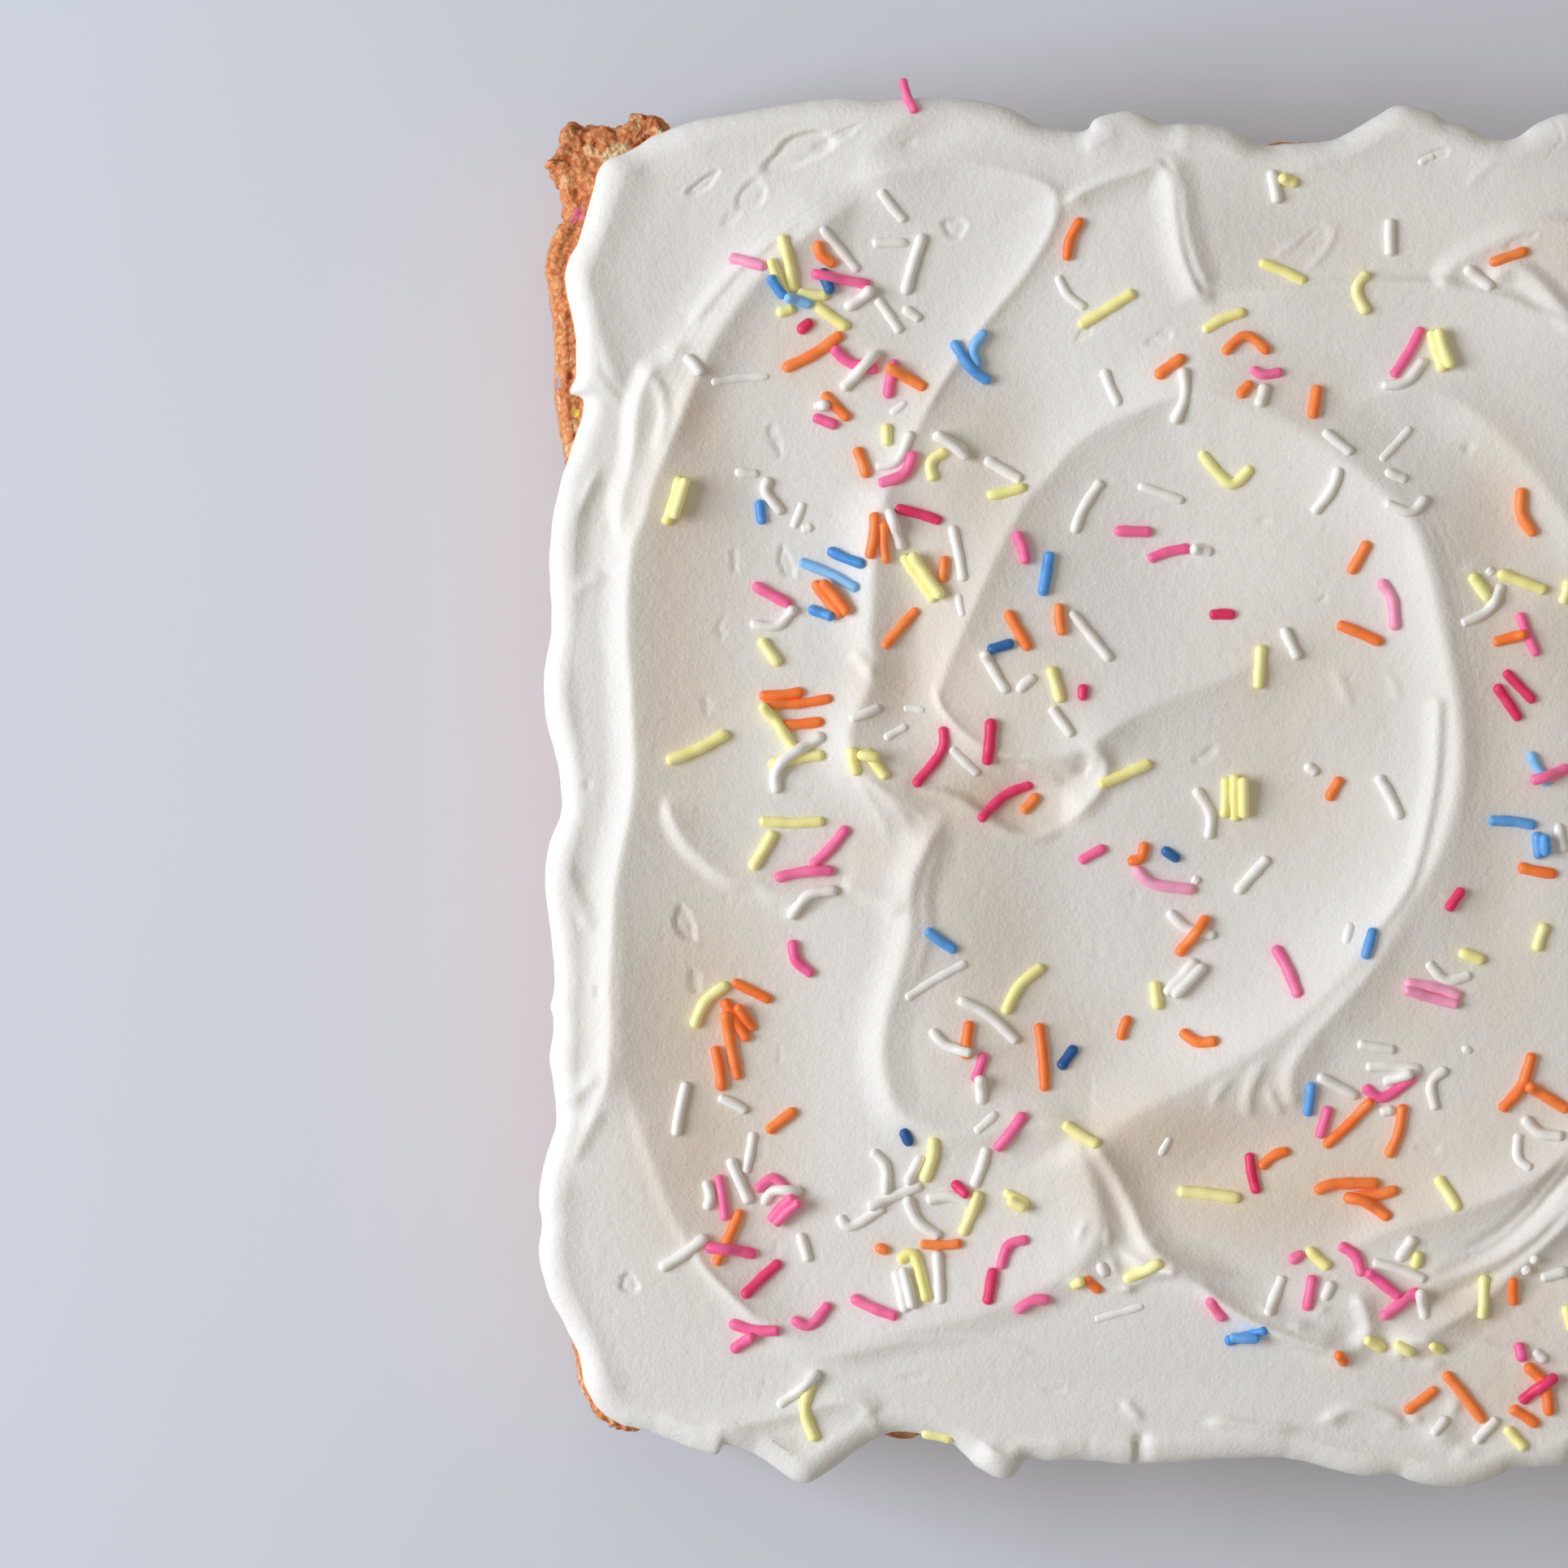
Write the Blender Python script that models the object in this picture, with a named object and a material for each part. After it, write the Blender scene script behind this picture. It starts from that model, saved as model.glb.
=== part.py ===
"""Frosted sheet cake: a bare-sided yellow sponge baked in a 9 x 13 inch pan, with a thick spread of
whipped frosting on top that is swept into folds and swirls and hangs a little over the edges.

Metres, +Z up. X runs along the cake's length, Y across it, the base stands on z = 0.
"""

import math

import bpy
import numpy as np

# ---------------------------------------------------------------- driving sizes (metres)
MM = 0.001
GRAIN = 0.135 * MM            # one drawing unit: edges, folds and swirls are laid out in these
BODY_LENGTH = 328.0 * MM      # mean outline of the frosting, along X
BODY_WIDTH = 222.5 * MM       # and along Y
CORNER_RADIUS = 10.0 * MM     # plan radius of the four corners
SPONGE_TOP = 38.0 * MM        # height of the sponge
SPONGE_INSET = 3.6 * MM       # the sponge stands this far inside the frosting's mean outline
SIDE_BULGE = 1.4 * MM         # the sponge's side swells this much at mid height
FROSTING_TOP = 47.0 * MM      # mean level of the frosting before its folds
NOSE = 4.6 * MM               # plan reach of the rounded edge of the frosting
NOSE_DROP = 4.8 * MM          # how far the rounded edge falls before its side is upright
GAP = 0.3 * MM                # between the sponge's top and the frosting
COLUMNS, ROWS = 56, 38        # cells of the frosting's top along X and Y

X_ORIGIN = 683.0              # drawing units: the mean outline's left edge
Y_ORIGIN = 976.0              # and its middle, counted downwards from the far side
SHIFT = (0.0, 0.0)            # set below, so that the whole cake's box is centred on X = Y = 0


def place(ux, uy):
    """Drawing units to metres on the cake."""
    return (np.asarray(ux, float) - X_ORIGIN) * GRAIN - BODY_LENGTH / 2, (Y_ORIGIN - np.asarray(uy, float)) * GRAIN


def drawing(x, y):
    """Metres on the cake to drawing units."""
    return (x + BODY_LENGTH / 2) / GRAIN + X_ORIGIN, Y_ORIGIN - y / GRAIN


# ---------------------------------------------------------------- the edge of the frosting
# Every lobe is one push or pull of the spatula: (where along the side, reach outwards, spread), drawing units.
LOBES = {
    "left": [(430, -27, 100), (336, 12, 20), (497, -11, 24), (846, 15, 46), (992, -10, 30), (1075, 13, 40),
             (1298, 8, 26), (1378, -7, 22), (1462, 15, 34), (1545, 22, 44), (1690, -24, 40)],
    "far": [(985, 20, 95), (1150, 29, 92), (1325, -12, 30), (1388, 19, 34), (1580, -30, 56), (1735, 27, 42),
            (1850, -26, 34), (1945, 16, 44), (2090, -20, 50), (2230, 22, 70), (2390, -16, 42), (2520, 18, 60),
            (2700, -22, 60), (2840, 20, 60), (2970, 8, 40)],
    "near": [(805, -34, 52), (988, 36, 30), (1110, -38, 50), (1234, 30, 28), (1700, 16, 44), (1790, 30, 52),
             (1985, -24, 46), (2120, 20, 40), (2260, -14, 40), (2400, 30, 34), (2540, -26, 50), (2700, 24, 46),
             (2860, -18, 40), (2960, 14, 34)],
    "right": [(330, -16, 70), (470, 14, 44), (610, -18, 46), (760, 20, 60), (920, -12, 40), (1060, 16, 50),
              (1220, -20, 50), (1370, 19, 52), (1520, -10, 36), (1640, 12, 40)],
}
# Where the sponge stands proud of its inset, or shy of it.
SPONGE_LOBES = {
    "left": [(330, 36, 80), (470, 22, 80), (200, 28, 60), (1690, -4, 60)],
    "far": [(760, 24, 60), (1600, 2, 60), (2400, -3, 80)],
    "near": [(780, -10, 60), (1115, 4, 60), (2540, 5, 60)],
    "right": [(620, 12, 70), (1230, 8, 60)],
}


def lobes(table, along):
    return sum(reach * np.exp(-(((along - at) / spread) ** 2)) for at, reach, spread in table) * GRAIN


def reach_out(table, x, y, nx, ny):
    """Outward offset of an edge at a point of the mean outline with normal (nx, ny)."""
    ux, uy = drawing(x, y)
    side = np.where(nx < 0, lobes(table["left"], uy), lobes(table["right"], uy))
    end = np.where(ny > 0, lobes(table["far"], ux), lobes(table["near"], ux))
    return nx**2 * side + ny**2 * end


def mean_side(name, t):
    """Points and outward normals on one side of the mean outline, from mid corner to mid corner, t from 0 to 1."""
    half_l, half_w, r = BODY_LENGTH / 2, BODY_WIDTH / 2, CORNER_RADIUS
    long_side = name in ("near", "far")
    half_run = (half_l if long_side else half_w) - r
    depth = half_w if long_side else half_l
    arc = math.pi * r / 4
    s = np.asarray(t, float) * (2 * half_run + 2 * arc) - arc - half_run
    over = np.abs(s) - half_run
    angle = np.clip(over / r, 0, None)
    along = np.where(over > 0, np.sign(s) * (half_run + r * np.sin(angle)), s)
    out = depth - r + r * np.cos(angle)
    n_along, n_out = np.sign(s) * np.sin(angle), np.cos(angle)
    if name == "near":
        return along, -out, n_along, -n_out
    if name == "far":
        return along, out, n_along, n_out
    if name == "left":
        return -out, along, -n_out, n_along
    return out, along, n_out, n_along


def edge_loop(us, vs):
    """The mean outline once round, anticlockwise from the near left corner: x, y, nx, ny arrays."""
    parts = [mean_side("near", us[:-1]), mean_side("right", vs[:-1]),
             mean_side("far", us[::-1][:-1]), mean_side("left", vs[::-1][:-1])]
    return [np.concatenate([p[k] for p in parts]) for k in range(4)]


def frosting_reach(x, y, nx, ny):
    return reach_out(LOBES, x, y, nx, ny)


def sponge_reach(x, y, nx, ny):
    squareness = 2.2 * MM * np.abs(2 * nx * ny) ** 1.5     # pan corners are tighter than the frosting's
    torn = 2.6 * MM * np.abs(2 * nx * ny) ** 2 * (nx < 0) * (ny > 0)
    return reach_out(SPONGE_LOBES, x, y, nx, ny) - SPONGE_INSET + squareness + torn


def patch(us, vs, inset):
    """A grid that fills the frosting's outline drawn in by inset: a Coons patch between the four sides."""
    def side(name, t):
        x, y, nx, ny = mean_side(name, t)
        out = frosting_reach(x, y, nx, ny) - inset
        return np.stack([x + nx * out, y + ny * out], -1)
    near, far = side("near", us), side("far", us)
    left, right = side("left", vs), side("right", vs)
    u, v = us[None, :, None], vs[:, None, None]
    ruled = (1 - v) * near[None] + v * far[None] + (1 - u) * left[:, None] + u * right[:, None]
    corners = (1 - u) * (1 - v) * near[0] + u * (1 - v) * near[-1] + (1 - u) * v * far[0] + u * v * far[-1]
    return ruled - corners


# ---------------------------------------------------------------- folds and swirls of the frosting
# A fold is a crest with a long and a short flank: (height mm, reach left, reach right of travel, way points).
# The way points and reaches are drawing units; the flanks fall in a hollow curve to nothing at their reach.
FOLDS = {
    "corner_roll": (3.0, 46, 26, [(785, 190), (743, 278), (727, 350), (733, 430), (776, 494)]),
    "diagonal": (4.2, 120, 60, [(1056, 222), (965, 300), (868, 388), (803, 452)]),
    "left_fold": (4.4, 78, 60, [(798, 462), (814, 545), (770, 700), (783, 930), (748, 1200), (736, 1360), (704, 1420)]),
    "low_left_crest": (2.8, 60, 95, [(752, 1190), (789, 1393), (859, 1543), (940, 1622)]),
    "rim_lip": (3.0, 64, 16, [(698, 1410), (681, 1530), (724, 1648), (790, 1742), (860, 1755)]),
    "facet_edge": (2.0, 16, 70, [(1302, 243), (1206, 410), (1088, 592)]),
    "mid_ridge": (3.4, 90, 46, [(1092, 585), (1070, 740), (1052, 890), (1062, 960)]),
    "facet_top": (1.6, 30, 55, [(1030, 246), (1180, 213), (1302, 240)]),
    "second_edge": (3.0, 24, 55, [(1430, 196), (1452, 295), (1484, 368)]),
    "far_arc": (1.8, 22, 90, [(1490, 366), (1720, 350), (1850, 370), (2010, 470)]),
    "swirl": (4.0, 44, 92, [(1318, 545), (1440, 480), (1622, 539), (1760, 701), (1780, 945), (1667, 1190), (1518, 1308), (1350, 1396)]),
    "swirl_in": (2.0, 70, 40, [(1322, 545), (1218, 700), (1158, 862), (1310, 930)]),
    "saddle": (2.0, 36, 100, [(1640, 790), (1480, 845), (1336, 914)]),
    "hook": (2.2, 16, 50, [(1205, 1000), (1298, 1022), (1362, 940), (1290, 930)]),
    "peak_edge": (2.6, 46, 90, [(1056, 950), (1105, 973), (1164, 1000)]),
    "rope": (3.2, 30, 40, [(1162, 1000), (1115, 1110), (1080, 1290), (1130, 1388), (1290, 1386)]),
    "step": (1.6, 90, 26, [(1112, 1126), (978, 1104), (824, 990)]),
    "bowl_lip": (3.2, 86, 20, [(972, 1642), (1114, 1641), (1300, 1585), (1344, 1500), (1322, 1395)]),
    "scoop": (2.6, 16, 60, [(1352, 1400), (1404, 1515), (1490, 1566), (1600, 1556)]),
    "near_fold": (3.6, 60, 22, [(1460, 1586), (1620, 1646), (1830, 1596), (2040, 1470)]),
    "near_wave": (3.0, 30, 80, [(1650, 1538), (1849, 1466), (2010, 1330), (2060, 1230)]),
    "second_swirl": (2.4, 30, 60, [(1700, 478), (1849, 531), (1975, 740), (1990, 840)]),
    "far_roll": (2.6, 26, 40, [(1790, 350), (1880, 280), (2040, 320)]),
    "east_swirl": (3.8, 44, 90, [(2150, 500), (2420, 500), (2600, 800), (2470, 1150), (2200, 1260)]),
    "east_in": (2.2, 60, 40, [(2160, 520), (2080, 780), (2180, 980), (2280, 1000)]),
    "east_facet": (2.2, 16, 70, [(2420, 230), (2350, 320), (2270, 470)]),
    "east_rim": (4.0, 60, 70, [(2990, 1660), (2990, 1320), (3000, 960), (3000, 600), (2950, 300)]),
    "east_wave": (3.0, 50, 70, [(2690, 300), (2770, 620), (2800, 1160)]),
    "east_bowl": (3.0, 80, 24, [(2070, 1560), (2320, 1640), (2560, 1510), (2600, 1400)]),
    "east_near": (3.0, 70, 24, [(2600, 1650), (2850, 1630), (2900, 1450)]),
}
# Broad hollows and swells: (centre, half sizes along X and Y, depth mm), drawing units.
HOLLOWS = [
    ((840, 330), (95, 130), -1.2), ((1150, 350), (120, 120), -0.8), ((900, 800), (110, 260), -1.0),
    ((1190, 950), (110, 60), -1.8), ((1400, 720), (200, 190), -0.8), ((1450, 1120), (230, 170), -1.0),
    ((980, 1350), (160, 200), -1.0), ((800, 1650), (90, 90), -0.8), ((1560, 1440), (190, 80), -1.2),
    ((1640, 260), (170, 70), -0.8), ((1870, 1000), (90, 260), -1.2), ((2360, 800), (210, 240), -1.2),
    ((2340, 1440), (230, 130), -1.2), ((2760, 1420), (120, 130), -1.0), ((2880, 700), (90, 330), -0.8),
    ((2560, 320), (130, 90), -0.8), ((2060, 1080), (110, 150), 0.8), ((2660, 1080), (110, 160), 0.6),
]


def smooth(t):
    t = np.clip(t, 0, 1)
    return t * t * (3 - 2 * t)


def way(points, step):
    """A smooth path through the way points, a point every step metres: position and direction."""
    x, y = place([p[0] for p in points], [p[1] for p in points])
    p = np.stack([x, y], -1)
    p = np.concatenate([[2 * p[0] - p[1]], p, [2 * p[-1] - p[-2]]])
    out = []
    for a, b, c, d in zip(p[:-3], p[1:-2], p[2:-1], p[3:]):
        count = max(2, int(np.linalg.norm(c - b) / step))
        t = (np.arange(count) / count)[:, None]
        out.append(0.5 * (2 * b + (c - a) * t + (2 * a - 5 * b + 4 * c - d) * t**2 + (3 * b - a - 3 * c + d) * t**3))
    path = np.concatenate([*out, p[-2:-1]])
    heading = np.gradient(path, axis=0)
    return path, heading / np.linalg.norm(heading, axis=1)[:, None]


def fold(points, height, left, right, x, y, crest=0.5 * MM, step=1.5 * MM):
    """The height that one fold adds at each point."""
    path, heading = way(points, step)
    reach = max(left, right) * GRAIN
    near = ((x > path[:, 0].min() - reach) & (x < path[:, 0].max() + reach)
            & (y > path[:, 1].min() - reach) & (y < path[:, 1].max() + reach))
    added = np.zeros_like(x)
    if not near.any():
        return added
    px, py = x[near], y[near]
    best = np.full(px.shape, 1e9)
    which = np.zeros(px.shape, int)
    for k, (qx, qy) in enumerate(path):
        d = (px - qx) ** 2 + (py - qy) ** 2
        closer = d < best
        best[closer], which[closer] = d[closer], k
    distance = np.sqrt(best)
    dx, dy = px - path[which, 0], py - path[which, 1]
    on_left = heading[which, 0] * dy - heading[which, 1] * dx > 0
    width = np.where(on_left, left, right) * GRAIN
    soft = np.sqrt(distance**2 + crest**2) - crest
    flank = np.clip(1 - soft / width, 0, 1) ** 2
    t = which / (len(path) - 1)
    ends = smooth(t / 0.12) * smooth((1 - t) / 0.12)
    added[near] = height * MM * flank * ends
    return added


def top_height(x, y, crest=2.0 * MM):
    """The frosting's upper surface."""
    ux, uy = drawing(x, y)
    z = FROSTING_TOP + 0.5 * MM * np.sin(ux / 190.0 + 0.7) * np.cos(uy / 230.0 - 0.4)
    for (cx, cy), (rx, ry), depth in HOLLOWS:
        z = z + depth * MM * np.exp(-((ux - cx) / rx) ** 2 - ((uy - cy) / ry) ** 2)
    for height, left, right, points in FOLDS.values():
        z = z + fold(points, height, left, right, x, y, crest)
    return z


# ---------------------------------------------------------------- solids
def hang(over, x, y):
    """How far the frosting's lower lip hangs below the sponge's top: more where it reaches further out."""
    ux, uy = drawing(x, y)
    sway = 0.5 + 0.5 * np.sin(ux / 37.0 + 1.3) * np.cos(uy / 41.0)
    return smooth((over - 2.8 * MM) / (1.6 * MM)) * (1.6 * MM + 0.55 * np.clip(over, 0, 12 * MM) + 2.5 * MM * sway)


def frosting_solid(us, vs, turns):
    """Vertices and faces: the top, the rounded edge with its hanging lip, and the flat underside."""
    grid = patch(us, vs, NOSE)
    gx, gy = grid[..., 0], grid[..., 1]
    gz = top_height(gx.ravel(), gy.ravel()).reshape(gx.shape)
    rows, columns = gx.shape
    verts = [np.stack([gx.ravel(), gy.ravel(), gz.ravel()], -1)]
    index = np.arange(rows * columns).reshape(rows, columns)
    faces = [(index[r, c], index[r, c + 1], index[r + 1, c + 1], index[r + 1, c])
             for r in range(rows - 1) for c in range(columns - 1)]
    ring = np.concatenate([index[0, :-1], index[:-1, -1], index[-1, ::-1][:-1], index[::-1, 0][:-1]])
    x, y, nx, ny = edge_loop(us, vs)
    out = frosting_reach(x, y, nx, ny)
    inner = sponge_reach(x, y, nx, ny)
    rim = gz.ravel()[ring]
    over = out - inner
    drop = hang(over, x, y)
    drop = np.minimum(drop, np.minimum(np.roll(drop, 1), np.roll(drop, -1)))     # it tapers in at each end
    under = np.minimum(inner + 0.45 * MM, out - 2.2 * MM)
    lip = under + 0.7 * MM
    seat = SPONGE_TOP + GAP
    middle = rim - NOSE_DROP
    low = seat - drop
    total = rows * columns
    previous = ring
    for turn in turns:
        a = math.radians(turn)
        if turn >= 0:
            off, z = out - NOSE + NOSE * math.cos(a), middle + (rim - middle) * math.sin(a)
        else:
            off, z = lip + (out - lip) * math.cos(a), middle + (middle - low) * math.sin(a)
        verts.append(np.stack([x + nx * off, y + ny * off, z], -1))
        current = np.arange(total, total + len(x))
        total += len(x)
        for k in range(len(x)):
            n = (k + 1) % len(x)
            faces.append((previous[k], current[k], current[n], previous[n]))
        previous = current
    verts.append(np.stack([x + nx * under, y + ny * under, np.full_like(x, seat)], -1))
    current = np.arange(total, total + len(x))
    for k in range(len(x)):
        n = (k + 1) % len(x)
        faces.append((previous[k], current[k], current[n], previous[n]))
    faces.append(tuple(current[::-1]))
    return np.concatenate(verts), faces


def sponge_solid(us, vs):
    """Vertices and faces of the baked slab: flat base, sides that swell a little, flat trimmed top."""
    x, y, nx, ny = edge_loop(us, vs)
    out = sponge_reach(x, y, nx, ny)
    levels = [(0.0, -1.2), (1.8, 0.1), (14.0, 1.0), (25.0, 0.35), (38.0, 0.0)]
    verts, faces = [], []
    count = len(x)
    for k, (z, swell) in enumerate(levels):
        off = out + swell * SIDE_BULGE
        verts.append(np.stack([x + nx * off, y + ny * off, np.full_like(x, z * MM)], -1))
        if k:
            for i in range(count):
                n = (i + 1) % count
                low, high = (k - 1) * count, k * count
                faces.append((low + i, low + n, high + n, high + i))
    faces.append(tuple(range(count))[::-1])
    faces.append(tuple(range((len(levels) - 1) * count, len(levels) * count)))
    return np.concatenate(verts), faces


def shaded(name, colour, roughness):
    material = bpy.data.materials.new(name)
    material.use_nodes = True
    shader = material.node_tree.nodes["Principled BSDF"]
    shader.inputs["Base Color"].default_value = (*colour, 1)
    shader.inputs["Roughness"].default_value = roughness
    shader.inputs["Metallic"].default_value = 0.0
    return material


def add(name, verts, faces, material):
    mesh = bpy.data.meshes.new(name)
    mesh.from_pydata([tuple(v) for v in verts], [], [tuple(int(i) for i in f) for f in faces])
    mesh.update()
    mesh.shade_smooth()
    mesh.set_sharp_from_angle(angle=math.radians(50))
    mesh.materials.append(material)
    thing = bpy.data.objects.new(name, mesh)
    bpy.context.scene.collection.objects.link(thing)
    return thing


def main():
    for old in list(bpy.data.objects):
        bpy.data.objects.remove(old)
    us, vs = np.linspace(0, 1, COLUMNS + 1), np.linspace(0, 1, ROWS + 1)
    frosting, frosting_faces = frosting_solid(us, vs, (55, 20, -20, -55, -90))
    sponge, sponge_faces = sponge_solid(us, vs)
    both = np.concatenate([frosting, sponge])
    middle = (both.min(0) + both.max(0)) / 2
    for points in (frosting, sponge):
        points[:, 0] -= middle[0]
        points[:, 1] -= middle[1]
    add("sponge", sponge, sponge_faces, shaded("sponge", (0.62, 0.27, 0.10), 0.9))
    add("frosting", frosting, frosting_faces, shaded("frosting", (0.86, 0.84, 0.79), 0.5))
    size = both.max(0) - both.min(0)
    print("cake size in mm:", [round(float(v) * 1000, 1) for v in size], "centre was", [round(float(v) * 1000, 2) for v in middle])


main()
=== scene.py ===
"""The looks of the frosted sheet cake: whipped frosting swept into folds and swirls, a torn-edged yellow sponge
under it, strand sprinkles pressed into the top, a pale floor and soft light from the left."""

import math
import random

import bpy
import numpy as np
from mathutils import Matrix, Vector, noise
from mathutils.bvhtree import BVHTree


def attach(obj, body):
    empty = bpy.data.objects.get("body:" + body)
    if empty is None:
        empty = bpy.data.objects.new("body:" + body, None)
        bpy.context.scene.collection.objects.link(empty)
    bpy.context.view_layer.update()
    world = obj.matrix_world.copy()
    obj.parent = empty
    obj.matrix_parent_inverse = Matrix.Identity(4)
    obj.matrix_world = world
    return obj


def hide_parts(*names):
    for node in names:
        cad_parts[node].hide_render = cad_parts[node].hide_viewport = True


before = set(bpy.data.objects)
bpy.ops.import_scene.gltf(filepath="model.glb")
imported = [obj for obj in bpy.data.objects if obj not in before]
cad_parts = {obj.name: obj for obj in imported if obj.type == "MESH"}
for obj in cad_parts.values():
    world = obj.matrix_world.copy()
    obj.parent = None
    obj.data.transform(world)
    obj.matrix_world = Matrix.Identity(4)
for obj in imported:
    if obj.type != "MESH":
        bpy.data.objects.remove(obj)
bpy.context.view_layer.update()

# ---------------------------------------------------------------- layout units
# Everything on the cake is laid out in drawing units of 0.135 mm, across from the left and down from the far side.


MM = 0.001
GRAIN = 0.135 * MM
BODY_LENGTH = 328.0 * MM
X_ORIGIN, Y_ORIGIN = 683.0, 976.0
SHIFT_X, SHIFT_Y = 0.00021, 0.00014
SPONGE_TOP = 38.0 * MM
FROSTING_TOP = 46.6 * MM


def place(ux, uy):
    """Drawing units to metres."""
    return ((np.asarray(ux, float) - X_ORIGIN) * GRAIN - BODY_LENGTH / 2 + SHIFT_X,
            (Y_ORIGIN - np.asarray(uy, float)) * GRAIN + SHIFT_Y)


def drawing(x, y):
    return (x - SHIFT_X + BODY_LENGTH / 2) / GRAIN + X_ORIGIN, Y_ORIGIN - (y - SHIFT_Y) / GRAIN


def smooth(t):
    t = np.clip(t, 0, 1)
    return t * t * (3 - 2 * t)


def path_of(points, step=3.0, closed=False):
    """A smooth path through the way points, in drawing units: positions at an even step."""
    p = np.array([q[:2] for q in points], float)
    if closed:
        p = np.concatenate([p[-1:], p, p[:2]])
    else:
        p = np.concatenate([[2 * p[0] - p[1]], p, [2 * p[-1] - p[-2]]])
    out = []
    for a, b, c, d in zip(p[:-3], p[1:-2], p[2:-1], p[3:]):
        count = max(2, int(np.hypot(*(c - b)) / step))
        # centripetal weights keep the path from looping where the way points are close together
        t01, t12, t23 = (max(np.hypot(*(v - u)), 1e-3) ** 0.5 for u, v in ((a, b), (b, c), (c, d)))
        m1 = (c - b) + t12 * ((b - a) / t01 - (c - a) / (t01 + t12))
        m2 = (c - b) + t12 * ((d - c) / t23 - (d - b) / (t12 + t23))
        t = (np.arange(count) / count)[:, None]
        out.append((2 * b - 2 * c + m1 + m2) * t**3 + (-3 * b + 3 * c - 2 * m1 - m2) * t**2 + m1 * t + b)
    if not closed:
        out.append(p[-2:-1])
    return np.concatenate(out)


class Field:
    """The heights of a surface at a set of points, in drawing units and millimetres."""

    def __init__(self, ux, uy):
        self.ux, self.uy = np.asarray(ux, float).ravel(), np.asarray(uy, float).ravel()
        self.z = np.zeros_like(self.ux)
        # points sorted into square bins, so that a stroke looks only at its own neighbourhood
        self.cell = 32.0
        self.bx = np.floor(self.ux / self.cell).astype(int)
        self.by = np.floor(self.uy / self.cell).astype(int)
        self.x0, self.y0 = self.bx.min(), self.by.min()
        self.nx, self.ny = self.bx.max() - self.x0 + 1, self.by.max() - self.y0 + 1
        key = (self.by - self.y0) * self.nx + (self.bx - self.x0)
        self.order = np.argsort(key, kind="stable")
        self.start = np.searchsorted(key[self.order], np.arange(self.nx * self.ny + 1))

    def within(self, path, reach):
        """The points that may lie within reach of a path."""
        wanted = np.zeros((self.ny, self.nx), bool)
        r = int(reach / self.cell) + 1
        cells = np.unique(np.stack([np.floor(path[:, 1] / self.cell).astype(int) - self.y0,
                                    np.floor(path[:, 0] / self.cell).astype(int) - self.x0], -1), axis=0)
        for cy, cx in cells:
            wanted[max(0, cy - r):max(0, cy + r + 1), max(0, cx - r):max(0, cx + r + 1)] = True
        keys = np.flatnonzero(wanted.ravel())
        if not len(keys):
            return np.zeros(0, int)
        return np.concatenate([self.order[self.start[k]:self.start[k + 1]] for k in keys])

    def near(self, path, reach):
        """Which points are within reach of a path, with signed distance (left of travel positive) and place along it."""
        index = self.within(path, reach)
        px, py = self.ux[index], self.uy[index]
        best = np.full(len(index), 1e12)
        which = np.zeros(len(index), int)
        for k in range(len(path)):
            d = (px - path[k, 0]) ** 2 + (py - path[k, 1]) ** 2
            closer = d < best
            best[closer] = d[closer]
            which[closer] = k
        keep = best < (reach + 3) ** 2
        index, which, px, py = index[keep], which[keep], px[keep], py[keep]
        best = np.full(len(index), 1e12)
        signed = np.zeros(len(index))
        for offset in (-1, 0):
            a = np.clip(which + offset, 0, len(path) - 2)
            ax, ay = path[a, 0], path[a, 1]
            sx, sy = path[a + 1, 0] - ax, path[a + 1, 1] - ay
            length = np.maximum(np.hypot(sx, sy), 1e-9)
            t = np.clip(((px - ax) * sx + (py - ay) * sy) / length**2, 0, 1)
            d = np.hypot(px - ax - t * sx, py - ay - t * sy)
            cross = (sy * (px - ax) - sx * (py - ay)) / length   # the second axis points down: left of travel is positive
            closer = d < best
            best[closer] = d[closer]
            signed[closer] = np.where(cross >= 0, d, -d)[closer]
        # the place along the path, in drawing units, with the fan that a bend opens taken into account
        steps = np.hypot(*np.diff(path, axis=0).T)
        along = np.concatenate([[0], np.cumsum(steps)])
        tangent = np.gradient(path, axis=0)
        tangent /= np.maximum(np.hypot(*tangent.T), 1e-9)[:, None]
        bend = np.gradient(np.unwrap(np.arctan2(tangent[:, 1], tangent[:, 0]))) / np.maximum(np.gradient(along), 1e-9)
        bend = np.convolve(np.pad(bend, 2, mode="edge"), np.ones(5) / 5, mode="valid")
        forward = (px - path[which, 0]) * tangent[which, 0] + (py - path[which, 1]) * tangent[which, 1]
        opened = np.clip(1 + signed * bend[which], 0.3, None)
        return index, signed, along[which] + forward / opened, along[-1]


def flank(distance, width, power):
    return np.clip(1 - distance / width, 0, 1) ** power


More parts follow.
